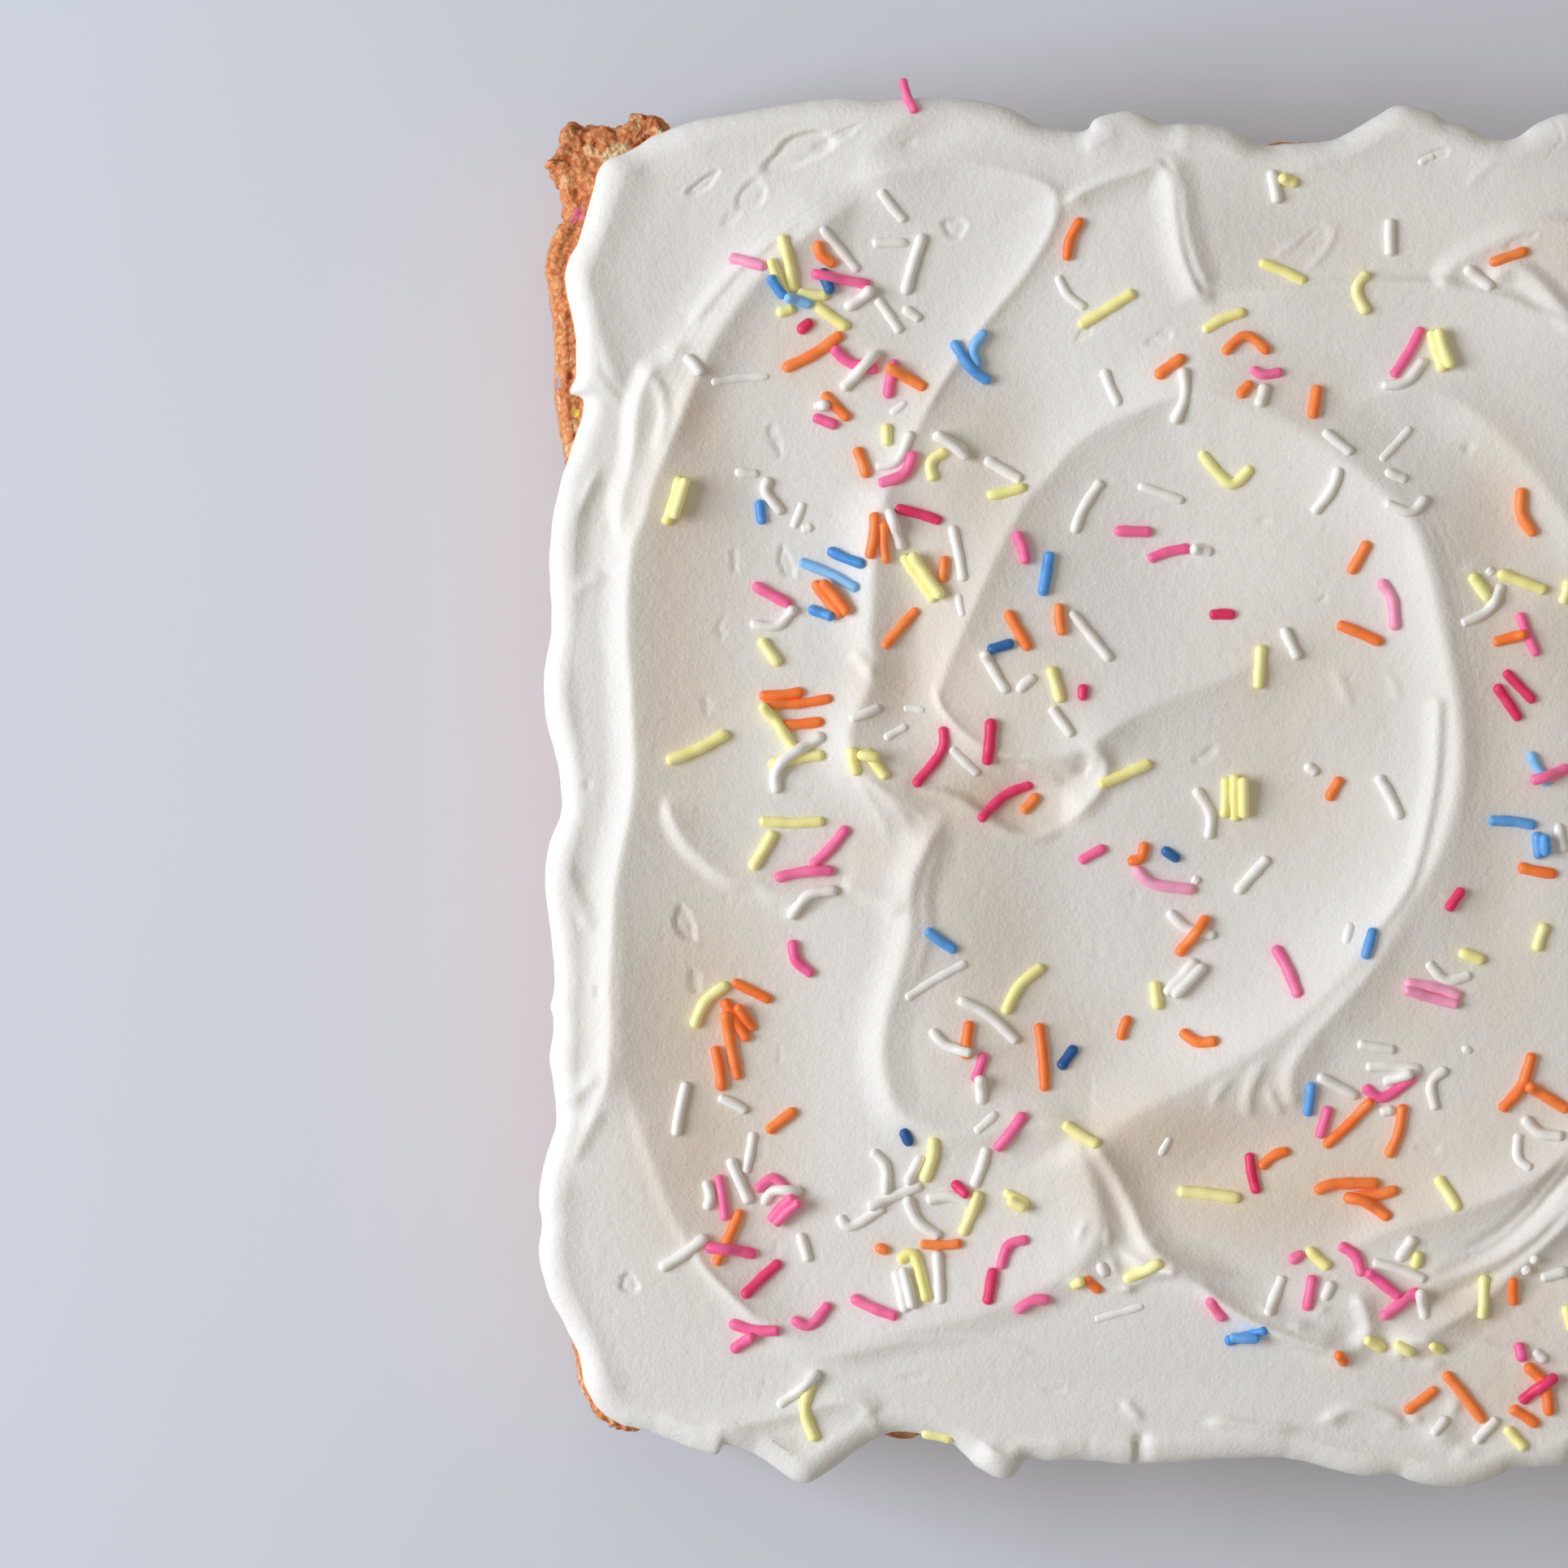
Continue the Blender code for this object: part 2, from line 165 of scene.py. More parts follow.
def level(field, path, along, density):
    """A surface that steps down across the path by density and is smooth everywhere else: each length of the path
    counts by the angle it fills, as seen from the point."""
    def seen(px, py, vertices, weights):
        out = np.zeros(len(px))
        turn = (vertices[0, 0] - px) + 1j * (vertices[0, 1] - py)
        for k in range(len(vertices) - 1):
            following = (vertices[k + 1, 0] - px) + 1j * (vertices[k + 1, 1] - py)
            out -= weights[k] * np.angle(following * np.conj(turn))
            turn = following
        return out / (2 * np.pi)

    def at_middles(values):
        return 0.5 * (values[1:] + values[:-1])

    close = field.within(path, 56.0)
    coarse = np.unique(np.concatenate([np.arange(0, len(path), 5), [len(path) - 1]]))
    step = 20.0
    gx = np.arange(field.ux.min() - step, field.ux.max() + 2 * step, step)
    gy = np.arange(field.uy.min() - step, field.uy.max() + 2 * step, step)
    mx, my = np.meshgrid(gx, gy)
    far = seen(mx.ravel(), my.ravel(), path[coarse], at_middles(density[coarse])).reshape(mx.shape)
    fx, fy = (field.ux - gx[0]) / step, (field.uy - gy[0]) / step
    ix, iy = fx.astype(int), fy.astype(int)
    fx, fy = fx - ix, fy - iy
    out = (far[iy, ix] * (1 - fx) + far[iy, ix + 1] * fx) * (1 - fy) + (far[iy + 1, ix] * (1 - fx) + far[iy + 1, ix + 1] * fx) * fy
    out[close] = seen(field.ux[close], field.uy[close], path, at_middles(density))
    return out


def stroke(field, points, left, right, start=40.0, end=40.0, crest=3.0, comb=None):
    """One crest. left and right are (height mm, reach, power) of the drop on each side of travel; where they differ,
    the ground on the two sides is left at different levels."""
    path = path_of(points)
    (hl, wl, pl), (hr, wr, pr) = left, right
    reach = max(wl, wr) + 3
    if comb:
        reach = max(reach, abs(comb[2]), abs(comb[3]))
    index, signed, along, length = field.near(path, reach)
    if len(index):
        ends = smooth(along / max(start, 1e-6)) * smooth((length - along) / max(end, 1e-6))
        narrow = 0.4 + 0.6 * ends
        soft = np.sqrt(signed**2 + crest**2) - crest
        amount = np.where(signed >= 0, hl * flank(soft, wl * narrow, pl), hr * flank(soft, wr * narrow, pr))
        if comb:
            depth, pitch, inner, outer = comb     # streaks between two signed distances
            middle, half = (inner + outer) / 2, abs(outer - inner) / 2
            window = smooth(1.4 * (1 - np.abs(signed - middle) / half))
            waves = np.sin(2 * np.pi * signed / pitch + 1.1 * np.sin(along / 47.0) + 0.6 * np.sin(along / 19.0 + 1.0)) \
                + 0.6 * np.sin(2 * np.pi * signed / (pitch * 0.63) + 2.1 + 1.3 * np.sin(along / 61.0))
            amount = amount + depth * window * waves
        field.z[index] += amount * ends
    if abs(hr - hl) > 0.02:
        steps = np.concatenate([[0], np.cumsum(np.hypot(*np.diff(path, axis=0).T))])
        tapers = smooth(steps / max(start, 1e-6)) * smooth((steps[-1] - steps) / max(end, 1e-6))
        field.z += level(field, path, steps, (hr - hl) * tapers)

# ---------------------------------------------------------------- the spatula's work
# Each stroke: way points, the drop on the left of travel, the drop on the right (height mm, reach, power), options.
# Travelling down the sheet, the left of travel is the drawing's right; travelling right, it is above.
STROKES = [
    # left-hand corner lobe: a rolled lip with a second line inside it
    ([(806, 186), (783, 197), (758, 248), (738, 298), (726, 332), (731, 374), (741, 420), (757, 462), (778, 490)], (0.8, 46, 1.9), (1.3, 46, 1.6), dict(crest=4, start=55, end=40)),
    ([(728, 318), (720, 350), (719, 392), (724, 436), (744, 476), (774, 502)], (0.35, 9, 1.6), (0.5, 14, 1.6), dict(crest=3, start=40, end=30)),
    ([(764, 186), (735, 228), (716, 280), (703, 322), (700, 360)], (0.3, 16, 1.6), (0.5, 16, 1.6), dict(crest=4, start=50, end=40)),
    # the long diagonal that comes down to the twist
    ([(1070, 236), (1020, 272), (976, 303), (936, 341), (900, 388), (874, 432), (857, 470), (838, 516), (820, 562), (804, 606)], (1.8, 64, 2.6), (1.9, 66, 1.8), dict(crest=5, start=80, end=194, comb=(0.05, 10, -48, -4))),
    ([(992, 270), (944, 303), (900, 340), (868, 378), (846, 404)], (0.6, 8, 1.4), (0.6, 14, 1.6), dict(crest=2, start=60, end=30)),
    # the twist
    ([(848, 414), (828, 442), (806, 457), (796, 472), (788, 494), (784, 520), (782, 550), (776, 585), (768, 612), (765, 640), (765, 676)], (0.7, 36, 1.7), (1.7, 19, 1.4), dict(crest=3.5, start=30, end=60)),
    ([(803, 464), (814, 480), (819, 505), (817, 530), (806, 560)], (0.45, 10, 1.5), (0.6, 10, 1.5), dict(crest=2.5, start=14, end=24)),
    # the fold along the left side
    ([(874, 432), (857, 470), (838, 516), (820, 562), (804, 606), (795, 640), (783, 666), (778, 692), (774, 750), (775, 800), (779, 850), (781, 900), (783, 945), (778, 1000), (768, 1046), (760, 1090), (756, 1150),
      (753, 1210), (753, 1290), (748, 1336), (734, 1370), (716, 1402)], (2.4, 150, 2.2), (1.9, 34, 1.8), dict(crest=4, start=194, end=90)),
    ([(768, 1120), (766, 1200), (766, 1280), (772, 1334)], (0.3, 50, 1.8), (0.15, 10, 1.5), dict(crest=4, start=80, end=60)),
    # its outer lip
    ([(744, 566), (722, 606), (704, 650), (698, 700), (700, 740), (690, 775), (684, 810), (690, 850), (696, 900), (698, 960), (698, 1020), (695, 1060), (691, 1100), (689, 1150),
      (686, 1200), (688, 1260), (690, 1320), (692, 1372)], (0.6, 22, 1.6), (1.1, 26, 1.6), dict(crest=3, start=50, end=50)),
    ([(752, 712), (728, 718), (704, 735)], (0.2, 12, 1.5), (0.8, 16, 1.6), dict(crest=3, start=18, end=20)),
    ([(741, 572), (722, 612), (704, 654)], (0.25, 10, 1.5), (0.3, 9, 1.5), dict(crest=2.5, start=30, end=30)),
    ([(697, 1053), (705, 1090), (720, 1125), (731, 1156)], (0.35, 14, 1.5), (0.5, 16, 1.5), dict(crest=2.5, start=25, end=25)),
    ([(690, 1374), (717, 1344), (742, 1316)], (0.7, 18, 1.6), (0.6, 12, 1.5), dict(crest=3, start=25, end=25)),
    ([(702, 1440), (720, 1402), (744, 1360)], (0.8, 20, 1.6), (0.5, 14, 1.5), dict(crest=3, start=30, end=25)),
    # lower left: the crisp line that bounds the long dish
    ([(770, 1318), (784, 1378), (802, 1430), (830, 1500), (868, 1560), (905, 1600), (938, 1629), (980, 1653), (1030, 1661)], (1.9, 130, 2.0), (0.25, 12, 1.5), dict(crest=3, start=90, end=262)),
    ([(840, 1516), (868, 1561), (906, 1601), (938, 1629)], (0.35, 7, 1.5), (0.35, 8, 1.5), dict(crest=2, start=50, end=30)),
    ([(706, 1434), (692, 1480), (690, 1530), (700, 1590), (720, 1645), (742, 1692), (776, 1738)], (0.35, 26, 1.6), (1.0, 22, 1.6), dict(crest=4, start=50, end=50)),
    # lip at the foot of the lower dish, turning up its right-hand end
    ([(830, 1500), (868, 1560), (905, 1600), (938, 1629), (980, 1653), (1030, 1661), (1100, 1643), (1150, 1631), (1215, 1614), (1260, 1598), (1300, 1578), (1335, 1550), (1354, 1515), (1352, 1480), (1341, 1440), (1329, 1406), (1318, 1388)],
     (2.1, 105, 2.4), (1.1, 30, 1.6), dict(crest=6, start=262, end=50)),
    ([(1000, 1668), (1060, 1664), (1110, 1652), (1200, 1650), (1250, 1660), (1285, 1676)], (0.3, 6, 1.5), (0.3, 16, 1.5), dict(crest=2, start=40, end=40)),
    # the scooped facets along the far side
    ([(1036, 228), (1100, 211), (1180, 202), (1240, 213), (1280, 225), (1299, 240), (1301, 262), (1291, 292), (1261, 340), (1216, 396), (1188, 433), (1155, 482), (1130, 530), (1108, 572), (1097, 596)],
     (0.75, 50, 2.6), (1.35, 84, 3.2), dict(crest=2.5, start=60, end=50)),
    ([(1240, 213), (1280, 225), (1299, 240), (1301, 262), (1291, 292), (1261, 340), (1216, 396), (1188, 433), (1155, 482), (1130, 530)], (0.26, 9, 1.5), (0.16, 8, 1.5), dict(crest=1.6, start=40, end=60)),
    ([(1303, 256), (1350, 229), (1400, 211), (1428, 205), (1442, 224), (1448, 270), (1456, 315), (1469, 350), (1484, 380)], (0.7, 9, 1.4), (1.6, 44, 2.8), dict(crest=2, start=30, end=24)),
    ([(1438, 186), (1455, 232), (1462, 282), (1475, 330), (1492, 362)], (0.8, 26, 1.8), (0.7, 9, 1.4), dict(crest=2, start=26, end=24)),
    # far side: the outer swells
    ([(800, 188), (850, 170), (905, 158), (980, 143), (1048, 138), (1110, 140), (1170, 142)], (0.5, 20, 1.6), (0.7, 60, 2.0), dict(crest=5, start=60, end=60)),
    ([(1064, 216), (1071, 190), (1091, 167), (1132, 148)], (0.2, 20, 1.6), (0.45, 50, 1.8), dict(crest=3, start=30, end=50)),
    ([(1338, 196), (1350, 172), (1386, 158)], (0.9, 20, 1.6), (0.3, 30, 1.6), dict(crest=4, start=26, end=26)),
    ([(1424, 172), (1466, 157), (1505, 160), (1535, 170), (1562, 184)], (0.6, 14, 1.6), (0.8, 36, 1.8), dict(crest=3, start=30, end=30)),
    ([(1436, 184), (1478, 178), (1512, 184), (1536, 198)], (0.3, 9, 1.6), (0.35, 9, 1.6), dict(crest=2.5, start=30, end=30)),
    ([(1560, 196), (1610, 188), (1660, 174), (1700, 156), (1732, 150), (1770, 156), (1806, 172), (1850, 188), (1884, 180), (1932, 158), (1990, 160)], (0.6, 18, 1.6), (0.7, 44, 1.8), dict(crest=4, start=60, end=60)),
    # the step that runs right from the double ridge, and the rolled ridge at its end
    ([(1488, 364), (1551, 362), (1622, 357), (1684, 351), (1766, 352), (1808, 360), (1849, 368), (1891, 386), (1932, 408), (1985, 450), (2030, 510)], (1.1, 12, 1.5), (1.0, 80, 2.8), dict(crest=2.5, start=110, end=60)),
    ([(1774, 360), (1782, 338), (1800, 321), (1840, 299), (1870, 286), (1907, 280), (1960, 286), (2020, 306)], (1.3, 18, 1.6), (1.0, 36, 1.8), dict(crest=4, start=18, end=60)),
    ([(1832, 356), (1846, 338), (1866, 333), (1888, 346), (1912, 372), (1938, 400), (1970, 430)], (1.1, 16, 1.5), (1.3, 18, 1.5), dict(crest=5, start=24, end=50)),
    # the second arc, outside the great swirl
    ([(1650, 508), (1700, 486), (1750, 482), (1790, 492), (1830, 520), (1862, 550), (1890, 582), (1912, 612), (1940, 655), (1966, 710), (1984, 790)], (0.5, 50, 1.8), (1.4, 60, 2.2), dict(crest=4, start=90, end=90)),
    # the great swirl's rim
    ([(1350, 530), (1400, 506), (1450, 489), (1502, 492), (1551, 508), (1601, 530), (1642, 556), (1680, 586), (1715, 618), (1742, 654), (1758, 700), (1769, 750), (1780, 800), (1790, 850), (1796, 900),
      (1796, 950), (1786, 1010), (1768, 1062), (1740, 1106), (1700, 1154), (1650, 1209), (1600, 1257), (1540, 1297), (1480, 1331), (1420, 1361), (1354, 1395), (1310, 1388), (1262, 1388)],
     (2.0, 105, 1.7), (3.0, 105, 2.7), dict(crest=5, start=161, end=190)),
    ([(1690, 580), (1730, 625), (1760, 680), (1776, 740), (1786, 800), (1798, 860), (1804, 930), (1798, 1000), (1782, 1060)], (0.2, 20, 1.6), (0.2, 20, 1.6), dict(crest=3, start=120, end=120, comb=(0.04, 12, -4, 44))),
    ([(1770, 856), (1771, 890), (1768, 950), (1760, 1000), (1748, 1052), (1734, 1090), (1700, 1138), (1648, 1194)], (0.85, 9, 1.5), (0.45, 18, 1.6), dict(crest=3, start=12, end=120)),
    ([(1748, 1102), (1720, 1150), (1690, 1195), (1650, 1240), (1612, 1284), (1592, 1318), (1590, 1346), (1606, 1372)], (0.8, 50, 1.9), (0.9, 18, 1.6), dict(crest=3, start=160, end=26)),
    # small curls where two strokes meet
    ([(1562, 1302), (1543, 1334), (1538, 1360), (1544, 1386)], (0.45, 10, 1.5), (0.6, 12, 1.5), dict(crest=2.5, start=24, end=24)),
    ([(1562, 1334), (1570, 1356), (1583, 1380)], (0.4, 8, 1.5), (0.5, 9, 1.5), dict(crest=2.5, start=18, end=18)),
    ([(1520, 1326), (1502, 1346), (1494, 1370)], (0.35, 9, 1.5), (0.45, 10, 1.5), dict(crest=2.5, start=20, end=20)),
    # inner edge of the swirl
    ([(1502, 492), (1450, 489), (1400, 506), (1350, 530), (1322, 552), (1290, 590), (1270, 611), (1248, 646), (1225, 692), (1203, 742), (1185, 782), (1170, 816), (1160, 848), (1158, 866), (1172, 887),
      (1198, 912), (1225, 927), (1262, 933), (1310, 931), (1336, 920), (1372, 898), (1412, 874)], (0.8, 60, 2.4), (1.5, 80, 2.8), dict(crest=2, start=161, end=110)),
    ([(1152, 838), (1158, 866), (1172, 887), (1198, 912), (1225, 927), (1262, 934), (1302, 933)], (0.22, 6, 1.5), (0.5, 8, 1.5), dict(crest=1, start=16, end=30)),
    # the crease across the swirl: a step down towards the near side
    ([(1254, 934), (1290, 934), (1322, 927), (1370, 898), (1420, 869), (1500, 838), (1551, 815), (1600, 798), (1660, 780)], (0.5, 90, 2.0), (2.2, 110, 2.4), dict(crest=2.5, start=130, end=150)),
    # curl at the middle, with the hollow behind it
    ([(1330, 926), (1352, 928), (1363, 944), (1359, 966), (1345, 988), (1326, 1006), (1306, 1020)], (0.9, 18, 1.7), (2.2, 40, 1.7), dict(crest=2, start=24, end=44)),
    ([(1118, 972), (1139, 975), (1165, 979), (1188, 988), (1205, 1000), (1222, 1012), (1240, 1023), (1258, 1030), (1278, 1031), (1298, 1025), (1318, 1012)], (1.1, 11, 1.5), (0.4, 14, 1.5), dict(crest=1.2, start=40, end=40)),
    ([(1246, 940), (1280, 952), (1318, 968)], (0.6, 8, 1.5), (0.5, 7, 1.5), dict(crest=2, start=24, end=24)),
    ([(1266, 936), (1302, 944), (1338, 952)], (0.55, 8, 1.5), (0.5, 6, 1.5), dict(crest=2, start=24, end=24)),
    ([(1368, 962), (1398, 952), (1424, 938)], (0.4, 10, 1.5), (0.4, 9, 1.5), dict(crest=4, start=14, end=24)),
    # mid ridge
    ([(1103, 572), (1092, 612), (1080, 648), (1077, 700), (1075, 745), (1073, 785), (1078, 824), (1064, 862), (1049, 898), (1051, 930), (1070, 960), (1104, 980), (1140, 989), (1166, 996)],
     (1.15, 54, 1.8), (2.0, 62, 2.4), dict(crest=4, start=50, end=70, comb=(0.03, 9, -40, -4))),
    ([(1048, 802), (1062, 814), (1078, 838)], (0.6, 12, 1.5), (0.6, 9, 1.5), dict(crest=2.5, start=12, end=14)),
    # fan and its peak
    ([(1172, 1000), (1152, 1024), (1134, 1056), (1118, 1100), (1112, 1140)], (0.3, 16, 1.6), (1.1, 105, 1.6), dict(crest=5, start=50, end=70)),
    ([(1058, 952), (1086, 974), (1114, 1004), (1128, 1040)], (0.25, 6, 1.5), (0.25, 8, 1.5), dict(crest=2, start=24, end=40)),
    ([(1050, 950), (1070, 982), (1090, 1016), (1100, 1052)], (0.25, 6, 1.5), (0.25, 8, 1.5), dict(crest=2, start=24, end=40)),
    ([(1066, 960), (1100, 983), (1136, 1004), (1150, 1020)], (0.2, 5, 1.5), (0.2, 7, 1.5), dict(crest=2, start=24, end=30)),
    # rope
    ([(1176, 1000), (1163, 1008), (1153, 1024), (1140, 1048), (1127, 1080), (1122, 1112), (1120, 1150), (1113, 1185), (1104, 1213), (1093, 1252), (1088, 1300), (1096, 1345), (1112, 1374),
      (1140, 1387), (1170, 1396), (1230, 1396), (1262, 1387), (1300, 1386), (1346, 1397)], (1.0, 36, 1.7), (1.4, 38, 2.0), dict(crest=5, start=60, end=60)),
    ([(1164, 1034), (1148, 1072), (1141, 1110), (1143, 1150), (1132, 1188), (1118, 1222)], (0.22, 12, 1.5), (0.18, 7, 1.5), dict(crest=2.5, start=40, end=40)),
    # left step
    ([(818, 974), (827, 1004), (843, 1036), (866, 1060), (895, 1082), (932, 1092), (955, 1104), (985, 1110), (1012, 1102), (1036, 1088)], (0.5, 50, 1.8), (1.5, 15, 1.5), dict(crest=2, start=40, end=60)),
    ([(1034, 1087), (1060, 1097), (1090, 1112), (1116, 1126)], (0.3, 30, 1.8), (0.9, 15, 1.6), dict(crest=3, start=16, end=16)),
    # scoop that leaves the joint of the two lips
    ([(1338, 1398), (1367, 1436), (1387, 1474), (1400, 1502), (1412, 1529), (1432, 1550), (1456, 1563), (1500, 1571), (1545, 1577), (1590, 1574)], (1.5, 46, 2.4), (1.2, 16, 1.5), dict(crest=2, start=30, end=190)),
    # the torn, folded lip along the near side
    ([(1376, 1540), (1410, 1558), (1450, 1571), (1480, 1586), (1505, 1606), (1545, 1630), (1590, 1649), (1632, 1662), (1674, 1672)], (2.2, 52, 2.2), (2.0, 11, 1.4), dict(crest=1.6, start=40, end=50)),
    ([(1668, 1588), (1680, 1615), (1685, 1640), (1673, 1658), (1651, 1668), (1626, 1675)], (0.9, 22, 1.6), (1.1, 15, 1.5), dict(crest=3, start=20, end=30)),
    ([(1636, 1562), (1672, 1534), (1720, 1512), (1800, 1490), (1860, 1466), (1925, 1428), (1975, 1374), (2008, 1300), (2022, 1220)], (1.6, 60, 2.6), (1.8, 50, 1.9), dict(crest=4, start=120, end=90, comb=(0.02, 13, -60, -8))),
    ([(1728, 1584), (1800, 1567), (1850, 1548), (1900, 1513), (1935, 1482), (1990, 1430), (2040, 1350)], (1.3, 26, 1.6), (1.0, 30, 1.7), dict(crest=3, start=60, end=80)),
    ([(1704, 1664), (1760, 1641), (1820, 1606), (1870, 1563), (1932, 1506), (1990, 1462), (2050, 1410)], (0.9, 36, 2.2), (2.0, 34, 1.7), dict(crest=3, start=40, end=90)),
    ([(1744, 1580), (1800, 1561), (1850, 1534), (1888, 1500), (1926, 1454), (1972, 1396)], (-0.85, 15, 1.6), (-0.75, 8, 1.4), dict(crest=2, start=50, end=70)),
    ([(1786, 1549), (1836, 1526), (1876, 1492), (1914, 1446), (1950, 1398)], (-0.55, 10, 1.5), (-0.50, 7, 1.4), dict(crest=2, start=50, end=60)),
    ([(1752, 1604), (1810, 1586), (1862, 1556), (1906, 1518), (1950, 1462)], (-0.5, 9, 1.5), (-0.45, 8, 1.4), dict(crest=2, start=50, end=60)),
    ([(1746, 1652), (1800, 1652), (1850, 1664), (1890, 1674), (1940, 1676)], (0.5, 13, 1.5), (0.55, 9, 1.5), dict(crest=3, start=26, end=60)),
    # near side band
    ([(1620, 1757), (1640, 1745), (1664, 1735), (1702, 1740), (1740, 1760)], (0.7, 9, 1.5), (1.1, 18, 1.5), dict(crest=2.5, start=26, end=26)),
    ([(1480, 1756), (1502, 1752), (1550, 1757), (1612, 1761)], (0.7, 9, 1.5), (0.9, 14, 1.5), dict(crest=2.5, start=26, end=40)),
    ([(790, 1750), (830, 1760), (904, 1756), (960, 1745), (1000, 1735), (1040, 1727), (1064, 1733), (1079, 1750)], (0.9, 26, 1.8), (0.8, 16, 1.6), dict(crest=3, start=40, end=16)),
    ([(860, 1774), (900, 1768), (940, 1782), (985, 1800), (1018, 1790), (1060, 1770), (1100, 1752)], (0.8, 22, 1.7), (0.8, 14, 1.6), dict(crest=4, start=30, end=40)),
    ([(1196, 1776), (1230, 1792), (1262, 1790), (1300, 1786), (1380, 1788), (1460, 1784), (1540, 1780), (1620, 1788), (1700, 1798), (1780, 1806), (1850, 1798), (1932, 1786), (2020, 1770)], (1.0, 24, 1.8), (1.1, 14, 1.5), dict(crest=3, start=30, end=60)),
    ([(1382, 1722), (1396, 1738), (1410, 1752)], (0.5, 8, 1.5), (0.5, 9, 1.5), dict(crest=3, start=14, end=14)),
    # frothy bits and thin flakes
    ([(1794, 708), (1826, 698), (1850, 712), (1894, 729)], (0.3, 8, 1.5), (0.4, 10, 1.5), dict(crest=2.5, start=18, end=40)),
    ([(1566, 320), (1596, 299), (1618, 294), (1642, 270)], (0.25, 6, 1.5), (0.25, 7, 1.5), dict(crest=2, start=20, end=12)),
    ([(1648, 272), (1637, 304), (1604, 340)], (0.25, 6, 1.5), (0.25, 7, 1.5), dict(crest=2, start=10, end=26)),
    ([(1800, 236), (1824, 214), (1852, 188)], (0.2, 9, 1.5), (0.2, 8, 1.5), dict(crest=2.5, start=26, end=26)),
    ([(1640, 820), (1656, 846), (1668, 876)], (0.2, 8, 1.5), (0.25, 10, 1.5), dict(crest=3, start=20, end=20)),
    ([(1708, 826), (1720, 846), (1726, 868)], (0.18, 7, 1.5), (0.2, 8, 1.5), dict(crest=3, start=14, end=14)),
    ([(1310, 1581), (1340, 1574), (1366, 1583), (1384, 1588), (1410, 1574), (1446, 1564)], (0.5, 7, 1.5), (0.5, 8, 1.5), dict(crest=2.5, start=16, end=20)),
    # ------------------------------------------------ the half that runs on beyond
    ([(2160, 560), (2190, 510), (2240, 474), (2310, 458), (2390, 466), (2460, 500), (2520, 556), (2564, 630), (2586, 720), (2592, 810), (2584, 900), (2560, 990), (2516, 1080), (2450, 1160), (2370, 1220), (2290, 1258), (2210, 1290), (2140, 1330)],
     (2.0, 105, 1.7), (3.0, 105, 2.7), dict(crest=5, start=90, end=90)),
    ([(2480, 520), (2540, 600), (2568, 690), (2572, 800), (2560, 900), (2534, 990), (2490, 1066), (2420, 1140), (2340, 1200), (2250, 1240)], (0.85, 10, 1.5), (0.5, 20, 1.6), dict(crest=3, start=90, end=120)),
    ([(2500, 530), (2566, 620), (2596, 720), (2604, 820), (2590, 920), (2560, 1010)], (0.2, 20, 1.6), (0.2, 20, 1.6), dict(crest=3, start=110, end=110, comb=(0.04, 12, -4, 44))),
    ([(2240, 478), (2190, 520), (2150, 590), (2120, 670), (2096, 760), (2086, 840), (2100, 900), (2150, 940), (2210, 944)], (0.8, 60, 2.4), (1.5, 80, 2.8), dict(crest=2.5, start=60, end=60)),
    ([(2204, 940), (2270, 920), (2340, 880), (2420, 850), (2500, 830)], (0.35, 90, 2.0), (1.6, 110, 2.0), dict(crest=4, start=30, end=120)),
    ([(2110, 900), (2096, 960), (2070, 1030), (2050, 1110), (2060, 1180), (2046, 1250), (2030, 1320), (2052, 1380), (2120, 1400), (2200, 1396), (2290, 1372)], (1.2, 34, 1.6), (1.5, 44, 2.0), dict(crest=5, start=50, end=60)),
    ([(2440, 222), (2420, 290), (2376, 350), (2340, 410), (2300, 455)], (0.75, 50, 2.6), (1.4, 90, 3.6), dict(crest=2.5, start=20, end=60)),
    ([(2120, 262), (2180, 228), (2260, 210), (2350, 208), (2436, 222)], (0.7, 40, 1.8), (1.3, 60, 2.2), dict(crest=4, start=60, end=20)),
    ([(2446, 214), (2500, 190), (2570, 184), (2640, 200), (2700, 240)], (0.7, 30, 1.8), (1.2, 56, 2.2), dict(crest=3.5, start=30, end=50)),
    ([(2060, 176), (2120, 162), (2200, 150), (2280, 152), (2360, 164), (2440, 168), (2520, 156), (2620, 164), (2720, 178), (2820, 166), (2920, 160)], (0.6, 20, 1.6), (0.7, 50, 2.0), dict(crest=5, start=60, end=60)),
    ([(2700, 250), (2740, 330), (2768, 420), (2784, 520), (2770, 640), (2758, 740), (2772, 850), (2790, 950), (2784, 1060), (2760, 1160), (2724, 1250)], (2.2, 130, 2.0), (2.0, 60, 2.4), dict(crest=5, start=90, end=100, comb=(0.05, 10, -40, -4))),
    ([(2962, 220), (2990, 300), (3006, 400), (3000, 520), (3012, 640), (3002, 760), (3014, 880), (3000, 1000), (3012, 1120), (3016, 1240), (3000, 1360), (3010, 1480), (2996, 1600), (2960, 1690)], (0.9, 26, 1.6), (1.5, 60, 2.0), dict(crest=5, start=60, end=60)),
    ([(2900, 300), (2936, 420), (2944, 560), (2930, 700), (2940, 860), (2930, 1000), (2944, 1150), (2930, 1300), (2900, 1420)], (0.9, 40, 1.8), (1.5, 60, 2.2), dict(crest=4, start=90, end=90)),
    ([(2010, 1560), (2080, 1610), (2160, 1640), (2260, 1652), (2360, 1640), (2450, 1606), (2520, 1556), (2560, 1490), (2572, 1420), (2560, 1350)], (2.1, 100, 2.6), (1.5, 32, 1.6), dict(crest=6, start=90, end=50)),
    ([(2580, 1400), (2610, 1480), (2650, 1550), (2710, 1600), (2790, 1620), (2860, 1600), (2910, 1540), (2930, 1470)], (1.8, 90, 2.4), (1.2, 30, 1.6), dict(crest=4, start=60, end=60)),
